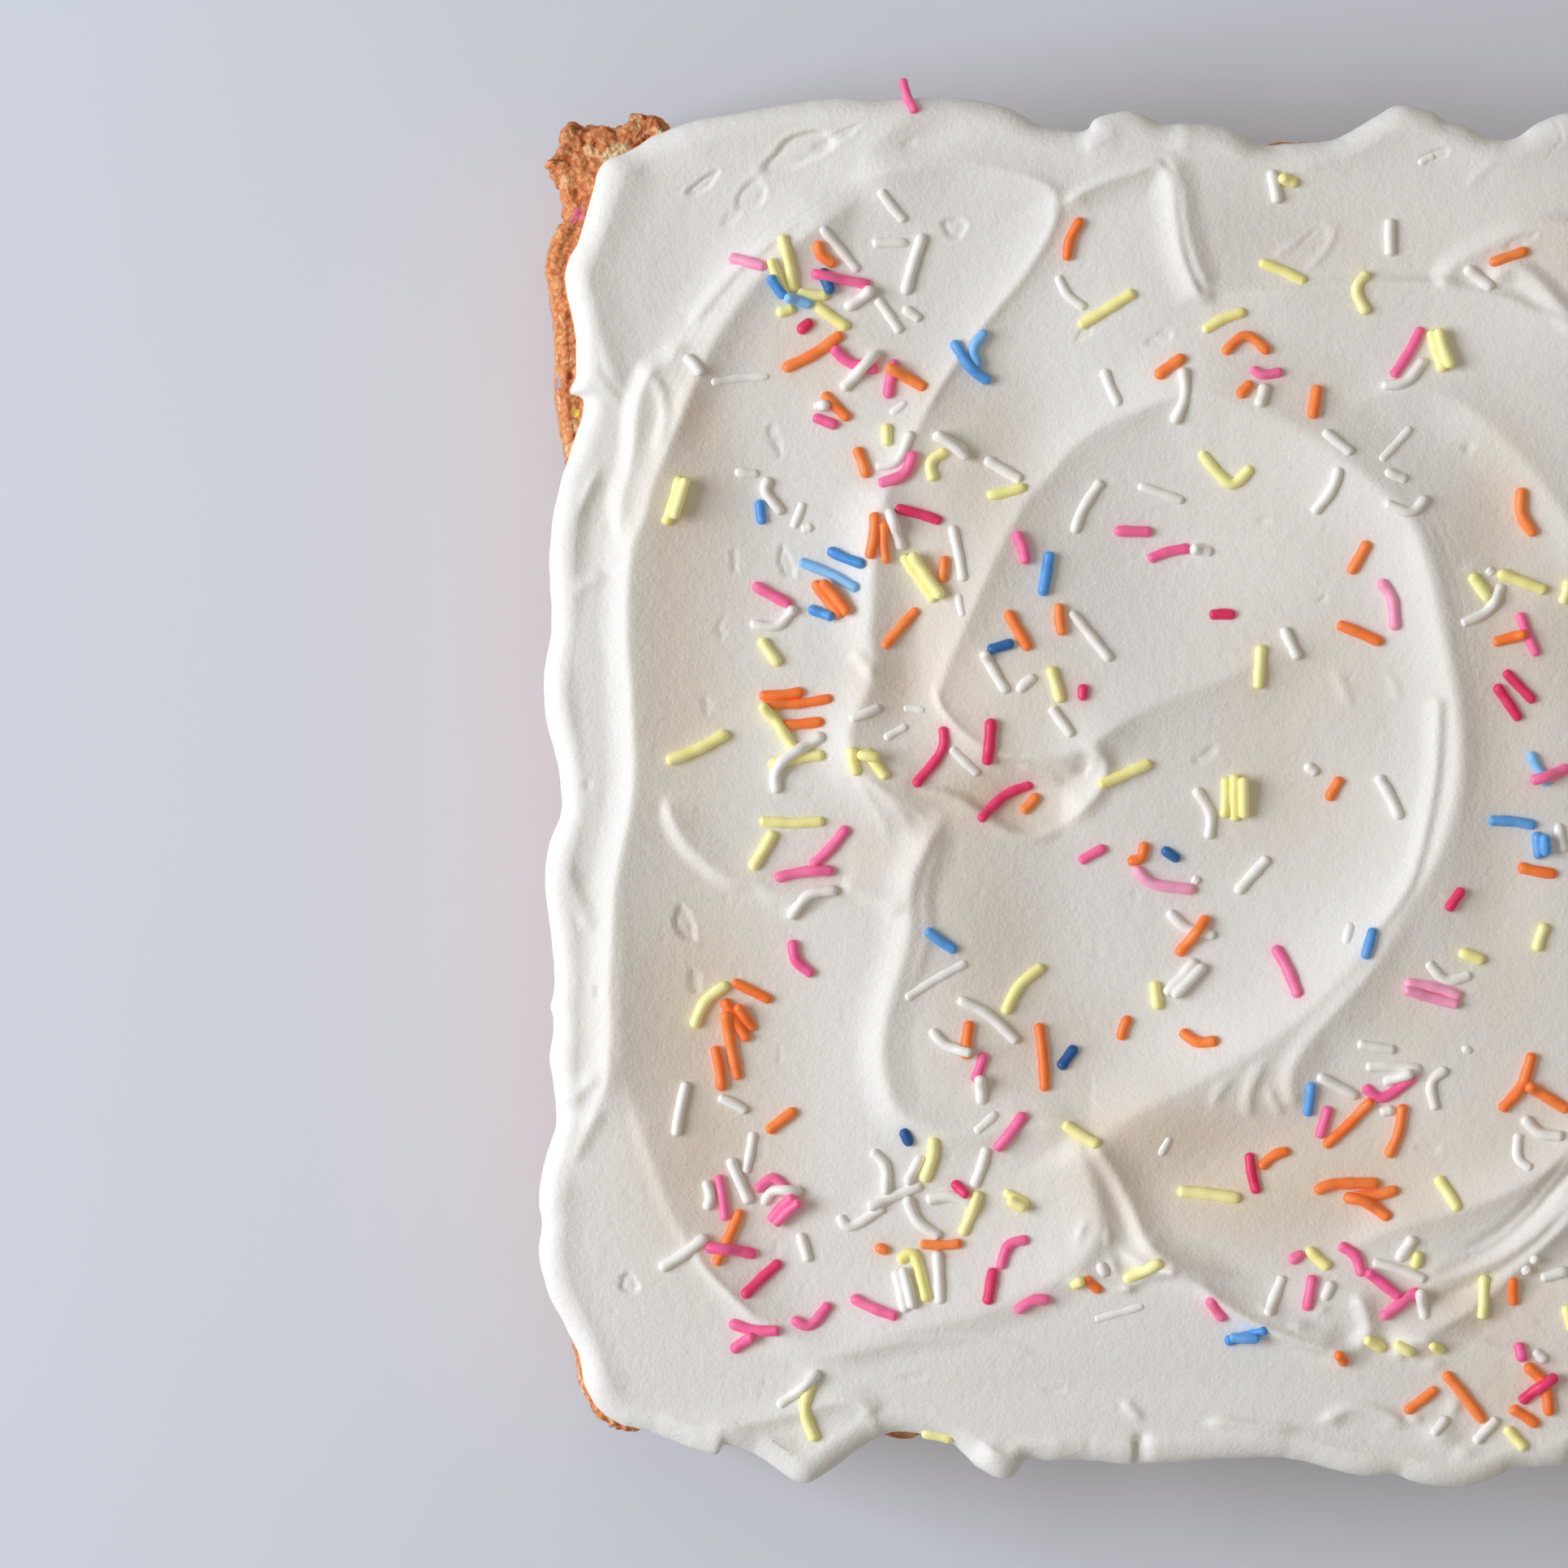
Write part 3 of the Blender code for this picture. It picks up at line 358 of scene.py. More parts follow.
    ([(2300, 1290), (2380, 1330), (2460, 1340), (2550, 1320), (2640, 1290), (2730, 1240)], (1.4, 60, 2.0), (1.0, 24, 1.6), dict(crest=4, start=60, end=60)),
    ([(2060, 1770), (2160, 1784), (2260, 1778), (2360, 1790), (2460, 1784), (2560, 1776), (2680, 1788), (2800, 1780), (2900, 1766)], (0.7, 26, 1.8), (0.7, 14, 1.6), dict(crest=4, start=60, end=60)),
    ([(2620, 900), (2680, 930), (2740, 980)], (0.7, 30, 1.8), (0.5, 14, 1.6), dict(crest=3, start=40, end=40)),
    ([(2610, 600), (2660, 560), (2720, 540)], (0.5, 14, 1.6), (0.7, 30, 1.8), dict(crest=3, start=40, end=40)),
]

# Broad hollows (negative) and swells: centre, half sizes, height mm, turn in degrees
SWELLS = [
    (1868, 805, 58, 115, 1.3, 0), (1868, 985, 56, 76, 0.9, 0), (1155, 850, 56, 60, -1.2, 0), (1290, 1150, 95, 170, -1.7, 0), (1625, 985, 90, 84, -0.9, 0),
    (1400, 1290, 110, 64, -1.7, 0), (1270, 480, 82, 115, -1.4, 0), (1930, 300, 150, 100, 0.9, 0), (1672, 1606, 84, 34, 1.1, 8), (1665, 1500, 180, 64, -1.3, -8),
    (850, 330, 70, 100, -0.9, 20), (960, 640, 100, 190, -1.2, 0), (1150, 380, 90, 110, -0.8, 20), (1085, 215, 70, 55, 0.8, -10), (1450, 300, 80, 110, 0.7, 0), (1930, 380, 90, 120, 1.0, 0),
    (730, 664, 18, 44, -0.4, 8), (798, 458, 12, 15, 0.6, 0), (1486, 366, 8, 8, 0.6, 0), (1704, 1652, 16, 9, -0.5, 0),
    (1120, 760, 40, 120, -0.7, 0), (1260, 975, 56, 30, -1.6, 8), (1430, 680, 170, 140, -3.0, 20), (1470, 1150, 200, 150, -3.3, -20),
    (975, 1330, 120, 220, -1.7, 0), (1180, 1510, 110, 80, -0.9, 0), (1372, 1470, 16, 60, -0.3, -28), (1490, 1440, 130, 60, -2.4, -15),
    (1640, 270, 150, 60, -0.8, 0), (1850, 900, 50, 230, -1.1, 0), (1680, 1420, 120, 80, -1.4, 0), (1640, 1300, 26, 34, -0.3, -30), (1130, 176, 50, 18, -0.5, -15), (2340, 720, 190, 150, -2.4, 0),
    (2310, 1130, 200, 130, -2.4, 0), (2300, 1500, 170, 90, -1.9, 0), (2880, 800, 60, 340, -1.4, 0), (2750, 1420, 110, 110, -1.5, 0),
    (2680, 700, 60, 200, -1.0, 0), (2560, 300, 110, 60, -1.2, 0), (1340, 1710, 220, 26, -0.5, 0), (1800, 1590, 120, 40, -0.9, -20),
    # froth where the near edge was touched up
    (1775, 1766, 20, 15, 0.8, 20), (1744, 1748, 9, 6, 0.7, 0), (1792, 1734, 8, 13, 0.6, 20), (1806, 1790, 14, 8, 0.5, -20), (1850, 1806, 16, 7, 0.5, -30),
    (1222, 1794, 18, 10, 0.7, 20), (1258, 1801, 14, 8, -1.0, 0), (1292, 1783, 18, 7, 0.7, -10), (1406, 1774, 9, 8, -1.0, 0), (1560, 1612, 9, 6, 0.6, 20),
    (1600, 1632, 12, 5, 0.6, 0), (1626, 1612, 10, 7, 0.5, 0), (1755, 1652, 14, 8, 0.7, 0), (1724, 1668, 8, 6, 0.6, 0), (1768, 1680, 12, 7, 0.5, 0),
    (1442, 1566, 7, 6, 0.7, 0), (1388, 1586, 9, 5, 0.6, 30), (1372, 1560, 6, 12, 0.6, -20), (1332, 1516, 5, 12, 0.5, 20), (1365, 1524, 4, 10, 0.5, 0),
]

# Painted shade: a warm, yellower tone painted into the hollows where shade falls: centre, half sizes, how much, 0 to 1
HOLLOW_SHADE_SPOTS = [
    (1105, 845, 56, 56, 0.80), (1555, 935, 56, 56, 0.35), (1195, 1130, 70, 190, 0.30), (1270, 1295, 110, 56, 0.45), (1195, 490, 70, 90, 0.25), (835, 900, 44, 90, 0.45),
    (835, 1270, 50, 130, 0.50), (1825, 665, 50, 50, 0.35), (1915, 790, 50, 110, 0.45), (1915, 1390, 60, 60, 0.30), (1915, 305, 60, 60, 0.35),
    (1590, 485, 90, 56, 0.25), (1735, 1250, 60, 90, 0.40), (1285, 845, 60, 60, 0.40), (1195, 905, 60, 80, 0.25), (1375, 1470, 60, 50, 0.45),
    (1735, 1475, 70, 44, 0.35), (1860, 1655, 90, 50, 0.35),
    (862, 520, 30, 60, 0.75), (822, 640, 26, 60, 0.7), (820, 760, 30, 90, 0.5),
    (850, 620, 70, 120, 0.40), (850, 860, 70, 150, 0.45), (865, 1230, 90, 130, 0.80), (870, 1430, 90, 120, 0.80), (990, 430, 70, 60, 0.55),
    (1205, 620, 80, 100, 0.50), (1190, 830, 60, 110, 0.45), (1215, 985, 100, 48, 0.95), (1230, 1190, 90, 90, 0.35), (1420, 1395, 120, 48, 0.90),
    (1610, 1400, 90, 70, 0.65), (1545, 1476, 160, 66, 0.95), (1700, 1440, 100, 60, 0.60), (1790, 1600, 90, 30, 0.40), (1600, 830, 110, 80, 0.42), (1590, 1010, 110, 80, 0.35), (1850, 600, 50, 90, 0.60), (1848, 800, 48, 110, 0.65),
    (1850, 1000, 48, 100, 0.50), (1856, 1200, 60, 100, 0.40), (1850, 1400, 70, 70, 0.40), (1850, 1600, 100, 46, 0.60), (1870, 1716, 80, 40, 0.65),
    (1060, 1060, 60, 50, 0.40), (1150, 760, 50, 100, 0.30), (1640, 300, 160, 60, 0.25), (1560, 640, 120, 90, 0.15),
    (2200, 700, 90, 150, 0.5), (2260, 1120, 120, 110, 0.45), (2200, 1450, 120, 80, 0.6), (2420, 700, 120, 120, 0.3), (2870, 800, 60, 300, 0.5), (2700, 1400, 90, 100, 0.5),
    (2660, 760, 60, 200, 0.45), (2540, 320, 110, 60, 0.4), (2300, 330, 90, 80, 0.4),
]

# ---------------------------------------------------------------- outlines
FRAME_SIZE = 1932                      # drawing units across the picture
VIEW_CENTRE = (966.0, 966.0)           # the camera stands over this point
LENS, SENSOR = 100.0, 36.0
CAMERA_HEIGHT = FRAME_SIZE * GRAIN * LENS / SENSOR      # above the frosting's mean level


def below(points, z):
    """Way points read on the picture, moved outwards to where they are on a plane z that lies under the frosting's level."""
    k = (CAMERA_HEIGHT + FROSTING_TOP - z) / CAMERA_HEIGHT
    return [((x - VIEW_CENTRE[0]) * k + VIEW_CENTRE[0], (y - VIEW_CENTRE[1]) * k + VIEW_CENTRE[1]) for x, y in points]


def swells(table, along):
    return sum(reach * math.exp(-(((along - at) / spread) ** 2)) for at, reach, spread in table)


FAR_LOBES = [(1945, 16, 44), (2090, -20, 50), (2230, 22, 70), (2390, -16, 42), (2520, 18, 60), (2700, -22, 60), (2840, 20, 60), (2970, 8, 40)]
NEAR_LOBES = [(1985, -24, 46), (2120, 20, 40), (2260, -14, 40), (2400, 30, 34), (2540, -26, 50), (2700, 24, 46), (2860, -18, 40), (2960, 14, 34)]
RIGHT_LOBES = [(330, -16, 70), (470, 14, 44), (610, -18, 46), (760, 20, 60), (920, -12, 40), (1060, 16, 50), (1220, -20, 50), (1370, 19, 52), (1520, -10, 36), (1640, 12, 40)]
LEFT_EDGE = [(768, 1758), (748, 1746), (731, 1729), (720, 1706), (713, 1673), (698, 1636), (681, 1603), (670, 1572), (664, 1541), (668, 1508), (664, 1483),
             (667, 1450), (677, 1409), (686, 1380), (681, 1331), (677, 1304), (681, 1279), (682, 1254), (678, 1240), (682, 1222), (681, 1176),
             (677, 1134), (673, 1093), (674, 1064), (681, 1031), (692, 998), (690, 965), (683, 924), (673, 883), (670, 846), (673, 813),
             (679, 784), (680, 742), (678, 701), (678, 678), (681, 645), (689, 604), (698, 571), (708, 538), (718, 509), (717, 490), (702, 483),
             (709, 466), (710, 449), (708, 410), (702, 381), (698, 360), (697, 336), (702, 319), (713, 299), (724, 266), (731, 237), (737, 212), (748, 198), (772, 188)]
FAR_EDGE = [(772, 188), (788, 178), (805, 167), (850, 152), (896, 142), (949, 133), (999, 125), (1048, 122), (1094, 124), (1139, 119), (1189, 122), (1230, 130), (1259, 140),
            (1275, 151), (1300, 160), (1340, 162), (1350, 148), (1385, 139), (1406, 142), (1436, 155), (1469, 154), (1502, 156), (1535, 165), (1560, 178),
            (1593, 177), (1626, 175), (1659, 167), (1684, 152), (1704, 140), (1725, 130), (1750, 132), (1771, 139), (1783, 149), (1808, 155), (1828, 167),
            (1849, 174), (1870, 171), (1899, 153), (1932, 141)]
FAR_EDGE += [(x, 152 - swells(FAR_LOBES, x)) for x in range(1962, 3030, 30)] + [(3052, 152), (3082, 166), (3100, 186)]
NEAR_EDGE = [(768, 1758), (783, 1760), (805, 1766), (834, 1776), (867, 1787), (884, 1790), (892, 1778), (906, 1781), (929, 1789), (953, 1805), (978, 1823), (996, 1826), (1019, 1813),
             (1052, 1789), (1077, 1772), (1098, 1764), (1135, 1767), (1172, 1776), (1189, 1792), (1209, 1809), (1236, 1820), (1252, 1816), (1266, 1798),
             (1299, 1800), (1336, 1798), (1394, 1803), (1452, 1799), (1518, 1796), (1560, 1794), (1601, 1798), (1642, 1809), (1684, 1819), (1725, 1817),
             (1742, 1825), (1783, 1832), (1824, 1827), (1849, 1819), (1870, 1809), (1932, 1803)]
NEAR_EDGE += [(x, 1800 + swells(NEAR_LOBES, x)) for x in range(1962, 3030, 30)] + [(3052, 1802), (3082, 1788), (3100, 1766)]
RIGHT_EDGE = [(3100, 1766), (3110, 1736)] + [(3113 + swells(RIGHT_LOBES, y), y) for y in range(1706, 230, -30)] + [(3110, 216), (3100, 186)]

LEFT_WALL = below([(728, 1736), (716, 1712), (712, 1684), (704, 1640), (700, 1580), (702, 1400), (698, 1200), (700, 1000), (698, 800), (700, 640), (697, 565), (690, 520),
             (686, 480), (686, 440), (683, 378), (678, 345), (674, 320), (677, 302), (683, 288), (692, 274), (699, 262), (694, 240), (690, 216), (688, 206),
             (677, 200), (684, 188), (687, 176), (692, 162), (702, 152)], SPONGE_TOP)
FAR_WALL = below([(702, 152), (722, 149), (748, 152), (770, 151), (776, 139), (795, 137), (813, 142), (822, 158), (860, 166), (1000, 168), (1200, 170), (1400, 172),
            (1555, 178), (1580, 174), (1600, 174), (1622, 178), (1760, 174), (1932, 172)], SPONGE_TOP) + [(2200, 176), (2500, 173), (2800, 177), (3030, 176), (3066, 184), (3080, 204)]
NEAR_WALL = below([(728, 1736), (738, 1750), (754, 1761), (775, 1767), (792, 1764), (830, 1760), (1000, 1764), (1088, 1770), (1104, 1774), (1122, 1774), (1140, 1768),
             (1300, 1770), (1600, 1772), (1932, 1774)], SPONGE_TOP) + [(2200, 1772), (2500, 1776), (2800, 1772), (3030, 1774), (3066, 1766), (3082, 1746)]
RIGHT_WALL = [(3082, 1746), (3086, 1700), (3086, 1500), (3090, 1230), (3084, 1000), (3086, 800), (3092, 620), (3086, 400), (3084, 240), (3080, 204)]


def even(points, count, smoothing=0.0):
    """A side of an outline at evenly spaced places: count points with both ends."""
    path = path_of(points, step=2.0)
    if smoothing:
        path = blur_path(path, smoothing)
    length = np.concatenate([[0], np.cumsum(np.hypot(*np.diff(path, axis=0).T))])
    at = np.asarray(count) * length[-1] if np.ndim(count) else np.linspace(0, length[-1], count)
    return np.stack([np.interp(at, length, path[:, k]) for k in (0, 1)], -1)


def blur_path(path, reach):
    """The path with its turns shorter than reach taken out, its ends kept."""
    half = int(3 * reach / 2.0)
    kernel = np.exp(-0.5 * (np.arange(-half, half + 1) * 2.0 / reach) ** 2)
    kernel /= kernel.sum()
    head = 2 * path[0] - path[1:half + 1][::-1]
    tail = 2 * path[-1] - path[-half - 1:-1][::-1]
    longer = np.concatenate([head, path, tail])
    return np.stack([np.convolve(longer[:, k], kernel, "valid") for k in (0, 1)], -1)


def outline(sides, us, vs):
    """One closed loop, anticlockwise seen from above, from the near left corner: near, right, far, left."""
    near, right, far, left = (even(s, at) for s, at in zip(sides, (us, vs, us, vs)))
    return np.concatenate([near[:-1], right[:-1], far[::-1][:-1], left[::-1][:-1]])


def blur_loop(loop, reach, step):
    """A closed loop with turns shorter than reach taken out. Its points are about step apart."""
    n = len(loop)
    sigma = reach / step
    half = min(int(3 * sigma) + 1, n // 2 - 1)
    kernel = np.exp(-0.5 * (np.arange(-half, half + 1) / sigma) ** 2)
    kernel /= kernel.sum()
    longer = np.concatenate([loop[-half:], loop, loop[:half]])
    return np.stack([np.convolve(longer[:, k], kernel, "valid") for k in range(loop.shape[1])], -1)


def outward(loop):
    """Unit normals of a loop that runs anticlockwise seen from above, in drawing units (second axis down)."""
    d = np.roll(loop, -1, 0) - np.roll(loop, 1, 0)
    n = np.stack([-d[:, 1], d[:, 0]], -1)
    return n / np.maximum(np.hypot(n[:, 0], n[:, 1]), 1e-9)[:, None]


def column_places():
    """Where the grid's columns and rows stand on their sides, 0 to 1: closer together in the half that shows."""
    fine, coarse, turn = 3.7, 8.2, 1990.0
    xs, x = [700.0], 700.0
    while x < 3100.0:
        x += fine if x < turn else min(coarse, fine + (x - turn) * 0.03)
        xs.append(x)
    us = (np.array(xs) - xs[0]) / (xs[-1] - xs[0])
    return us, np.linspace(0, 1, int(1640 / 3.7) + 1)

# ---------------------------------------------------------------- the frosting
NOSE_REACH = 30.0                      # drawing units from the outline in to where the top starts
PITS = [  # where the whipped frosting has burst bubbles or was scraped: x, y, length, width, turn, depth mm
    (866, 226, 40, 16, -35, 0.55), (985, 185, 78, 40, -25, 0.65), (925, 240, 48, 26, -40, 0.45), (830, 175, 20, 10, 0, 0.3), (1176, 280, 30, 24, 60, 0.55),
    (1429, 416, 34, 14, -30, 0.4), (1336, 410, 24, 12, -50, 0.3), (968, 693, 40, 16, 80, 0.45), (888, 774, 34, 7, 90, 0.3), (843, 1138, 50, 20, 75, 0.55),
    (856, 1210, 34, 12, 85, 0.45), (775, 1582, 28, 20, 30, 0.55), (1487, 930, 30, 14, -40, 0.4), (1808, 552, 14, 12, 0, 0.5), (1558, 640, 10, 8, 0, 0.4),
    (1633, 738, 10, 8, 0, 0.4), (1760, 1415, 34, 9, 5, 0.3), (955, 540, 40, 12, 75, 0.35), (904, 690, 30, 8, 85, 0.3), (870, 870, 26, 8, 85, 0.3),
    (1030, 170, 60, 12, -25, 0.3), (900, 268, 30, 10, -35, 0.3), (1120, 176, 22, 9, -20, 0.25), (1402, 1104, 16, 8, 60, 0.25), (1460, 690, 12, 6, 0, 0.25),
    (1870, 300, 40, 12, -30, 0.3), (1620, 290, 36, 14, -30, 0.35), (1770, 190, 30, 14, -20, 0.35), (960, 1300, 22, 6, 90, 0.2), (1040, 1250, 18, 5, 90, 0.2),
    (738, 1222, 16, 10, 80, 0.4), (725, 966, 12, 8, 0, 0.3), (1128, 1697, 30, 8, -10, 0.25), (1300, 1712, 26, 8, 0, 0.25), (1403, 1783, 18, 12, 0, 0.4),
    (2260, 330, 34, 12, -30, 0.4), (2500, 700, 30, 10, 60, 0.35), (2380, 1500, 30, 12, 20, 0.35), (2860, 420, 34, 12, 80, 0.4), (2700, 1450, 30, 12, -40, 0.35),
]


def pits_and_nicks(field):
    rng = random.Random(41)
    marks = list(PITS)
    for _ in range(900):
        x, y = rng.uniform(690, 3090), rng.uniform(150, 1800)
        long_ones = 840 < x < 1090 and 560 < y < 1560
        turn = rng.gauss(88, 12) if long_ones else rng.gauss(-40, 40)
        length = rng.uniform(5, 20) if long_ones else rng.uniform(3.5, 11)
        marks.append((x, y, length, rng.uniform(3.5, 5.5), turn, rng.uniform(0.05, 0.2)))
    for x, y, length, width, turn, depth in marks:
        path = np.array([(x, y), (x + 1e-3, y)])
        index = field.within(path, length)
        dx, dy = field.ux[index] - x, field.uy[index] - y
        a = math.radians(turn)
        u = (dx * math.cos(a) + dy * math.sin(a)) / (length / 2)
        v = (-dx * math.sin(a) + dy * math.cos(a)) / (width / 2)
        around = np.arctan2(v, u)
        r = np.sqrt(u * u + v * v) * (1 + 0.13 * np.sin(2 * around + x) + 0.10 * np.sin(3 * around + y) + 0.05 * np.sin(5 * around + x + y))
        dent = -depth * smooth((1.08 - r) / 0.26) * (0.45 + 0.55 * np.clip(r, 0, 1) ** 2)
        raised = 0.16 * depth * np.exp(-((r - 1.2) / 0.16) ** 2)
        field.z[index] += dent + raised


def top_height(ux, uy):
    """Height of the frosting's upper surface in metres."""
    field = Field(ux, uy)
    x, y = field.ux, field.uy
    field.z += 0.25 * np.sin(x / 190.0 + 0.7) * np.cos(y / 230.0 - 0.4)
    for cx, cy, rx, ry, height, turn in SWELLS:
        a = math.radians(turn)
        dx, dy = x - cx, y - cy
        u = (dx * math.cos(a) + dy * math.sin(a)) / rx
        v = (-dx * math.sin(a) + dy * math.cos(a)) / ry
        field.z += height * np.exp(-u * u - v * v)
    for points, left, right, options in STROKES:
        stroke(field, points, left, right, **options)
    pits_and_nicks(field)
    return FROSTING_TOP + field.z * MM


def hollow_shade_amount(ux, uy):
    """How much warm painted shade the frosting gets in its hollows, 0 to 1."""
    amount = np.zeros(len(ux))
    for cx, cy, rx, ry, much in HOLLOW_SHADE_SPOTS:
        amount = amount + (1 - amount) * much * np.exp(-((ux - cx) / rx) ** 2 - ((uy - cy) / ry) ** 2)
    return np.clip(amount, 0, 1)


def coons(near, right, far, left, us, vs):
    u, v = us[None, :, None], vs[:, None, None]
    ruled = (1 - v) * near[None] + v * far[None] + (1 - u) * left[:, None] + u * right[:, None]
    corners = (1 - u) * (1 - v) * near[0] + u * (1 - v) * near[-1] + (1 - u) * v * far[0] + u * v * far[-1]
    return ruled - corners


def relax_corners(grid, size=46, rounds=300):
    """The patch pinches where its outline turns gently at a corner, so its points there are spread evenly."""
    for rows in (slice(0, size), slice(-size, None)):
        for columns in (slice(0, size), slice(-size, None)):
            block = grid[rows, columns]
            for _ in range(rounds):
                block[1:-1, 1:-1] = (block[:-2, 1:-1] + block[2:, 1:-1] + block[1:-1, :-2] + block[1:-1, 2:]) / 4


def mesh_object(name, verts, faces, smooth_shading=True):
    """A mesh from arrays; faces is a list of (quads array) and n-gon tuples."""
    mesh = bpy.data.meshes.new(name)
    loops, starts, totals = [], [], []
    at = 0
    for part in faces:
        part = np.asarray(part)
        if part.ndim == 1:
            part = part[None]
        k = part.shape[1]
        loops.append(part.ravel())
        starts.append(at + np.arange(len(part)) * k)
        totals.append(np.full(len(part), k))
        at += part.size
    loops, starts, totals = np.concatenate(loops), np.concatenate(starts), np.concatenate(totals)
    mesh.vertices.add(len(verts))
    mesh.vertices.foreach_set("co", np.asarray(verts, np.float32).ravel())
    mesh.loops.add(len(loops))
    mesh.loops.foreach_set("vertex_index", loops.astype(np.int32))
    mesh.polygons.add(len(starts))
    mesh.polygons.foreach_set("loop_start", starts.astype(np.int32))
    mesh.polygons.foreach_set("loop_total", totals.astype(np.int32))
    mesh.update(calc_edges=True)
    mesh.validate()
    if smooth_shading:
        mesh.shade_smooth()
    thing = bpy.data.objects.new(name, mesh)
    bpy.context.scene.collection.objects.link(thing)
    return thing


def colour_layer(mesh, name, values):
    layer = mesh.color_attributes.new(name, "FLOAT_COLOR", "POINT")
    rgba = np.ones((len(mesh.vertices), 4), np.float32)
    rgba[:, :values.shape[1]] = values
    layer.data.foreach_set("color", rgba.ravel())


def ring_faces(first, second):
    """Quads between two rings of vertex numbers, the first one above or outside the second."""
    return np.stack([first, second, np.roll(second, -1), np.roll(first, -1)], -1)


def wobble(x, y, z, scale, seed):
    """Smooth noise, one value for each point."""
    return np.array([noise.noise((a * scale + seed, b * scale, c * scale)) for a, b, c in zip(x, y, z)])


def make_frosting():
    us, vs = column_places()
    sides = (NEAR_EDGE, RIGHT_EDGE, FAR_EDGE, LEFT_EDGE)
    outer = outline(sides, us, vs)
    # the widest part of the edge lies below the top, so it is seen a little smaller: it stands out further to match
    outer = outer + 0.0058 * np.stack([np.minimum(outer[:, 0] - VIEW_CENTRE[0], 0), outer[:, 1] - VIEW_CENTRE[1]], -1)
    calm = blur_loop(outer, 22.0, 5.0)
    inner = calm - outward(blur_loop(outer, 40.0, 5.0)) * NOSE_REACH
    nu, nv = len(us) - 1, len(vs) - 1
    near = inner[:nu + 1]
    right = inner[nu:nu + nv + 1]
    far = inner[nu + nv:2 * nu + nv + 1][::-1]
    left = np.concatenate([inner[2 * nu + nv:], inner[:1]])[::-1]
    grid = coons(near, right, far, left, us, vs)
    relax_corners(grid)
    z = top_height(grid[..., 0], grid[..., 1])
    gx, gy = place(grid[..., 0].ravel(), grid[..., 1].ravel())
    rows, columns = grid.shape[:2]
    index = np.arange(rows * columns).reshape(rows, columns)
    faces = [np.stack([index[:-1, :-1].ravel(), index[:-1, 1:].ravel(), index[1:, 1:].ravel(), index[1:, :-1].ravel()], -1)]
    ring = np.concatenate([index[0, :-1], index[:-1, -1], index[-1, ::-1][:-1], index[::-1, 0][:-1]])
    verts = [np.stack([gx, gy, z], -1)]
    total = rows * columns

    wall = sponge_wall(us, vs)
    ox, oy = place(outer[:, 0], outer[:, 1])
    ix, iy = place(inner[:, 0], inner[:, 1])
    n = outward(calm) * [1, -1]
    wx, wy = place(wall[:, 0], wall[:, 1])
    over = (ox - wx) * n[:, 0] + (oy - wy) * n[:, 1]          # how far the frosting stands out over the sponge
    rim = z[ring]
    sway = 0.5 + 0.5 * np.sin(outer[:, 0] / 37.0 + 1.3) * np.cos(outer[:, 1] / 41.0)
    drop = smooth((over - 2.2 * MM) / (2.4 * MM)) * (1.4 * MM + 0.5 * np.clip(over, 0, 12 * MM) + 2.2 * MM * sway)
    drop = blur_loop(np.minimum(np.minimum(drop, np.roll(drop, 3)), np.roll(drop, -3))[:, None], 14.0, 5.0)[:, 0]
    tuck = np.where(over > 2.7 * MM, over - 0.5 * MM, 2.2 * MM)
    tuck = blur_loop(tuck[:, None], 8.0, 5.0)[:, 0]
    seat = SPONGE_TOP + 0.3 * MM
    fall = 4.2 * MM + 0.8 * MM * np.sin(outer[:, 0] / 90.0 + outer[:, 1] / 70.0)
    middle = rim - fall
    low = seat - drop
    previous = ring
    for turn in (76, 62, 49, 37, 26, 15, 5, -6, -18, -31, -45, -60, -76, -90):
        a = math.radians(turn)
        c, s = math.cos(a), math.sin(a)
        if turn >= 0:
            x, y = ix + (ox - ix) * c, iy + (oy - iy) * c
            height = middle + (rim - middle) * s
        else:
            inward = (tuck - 0.7 * MM) * (1 - c)
            x, y = ox - n[:, 0] * inward, oy - n[:, 1] * inward
            height = middle + (middle - low) * s
        ripple = 0.28 * MM * c * wobble(x, y, height, 160.0, 3.1) + 0.12 * MM * c * wobble(x, y, height, 420.0, 8.7)
        x, y = x + n[:, 0] * ripple, y + n[:, 1] * ripple
        verts.append(np.stack([x, y, height], -1))
        current = np.arange(total, total + len(ring))
        total += len(ring)
        faces.append(ring_faces(previous, current))
        previous = current
    x, y = ox - n[:, 0] * tuck, oy - n[:, 1] * tuck
    verts.append(np.stack([x, y, np.full_like(x, seat)], -1))
    current = np.arange(total, total + len(ring))
    faces.append(ring_faces(previous, current))
    faces.append(current[::-1])
    verts = np.concatenate(verts)
    thing = mesh_object("frosting_spread", verts, faces)
    # painted shade: how much of the warm hollow tone each vertex of the top gets
    painted_shade = np.zeros(len(verts))
    painted_shade[:rows * columns] = hollow_shade_amount(grid[..., 0].ravel(), grid[..., 1].ravel())
    colour_layer(thing.data, "hollow_shade", np.repeat(painted_shade[:, None], 3, 1))
    return thing, grid, z


def sponge_wall(us, vs):
    """The sponge's top outline, point for point beside the frosting's."""
    return outline((NEAR_WALL, RIGHT_WALL, FAR_WALL, LEFT_WALL), us, vs)

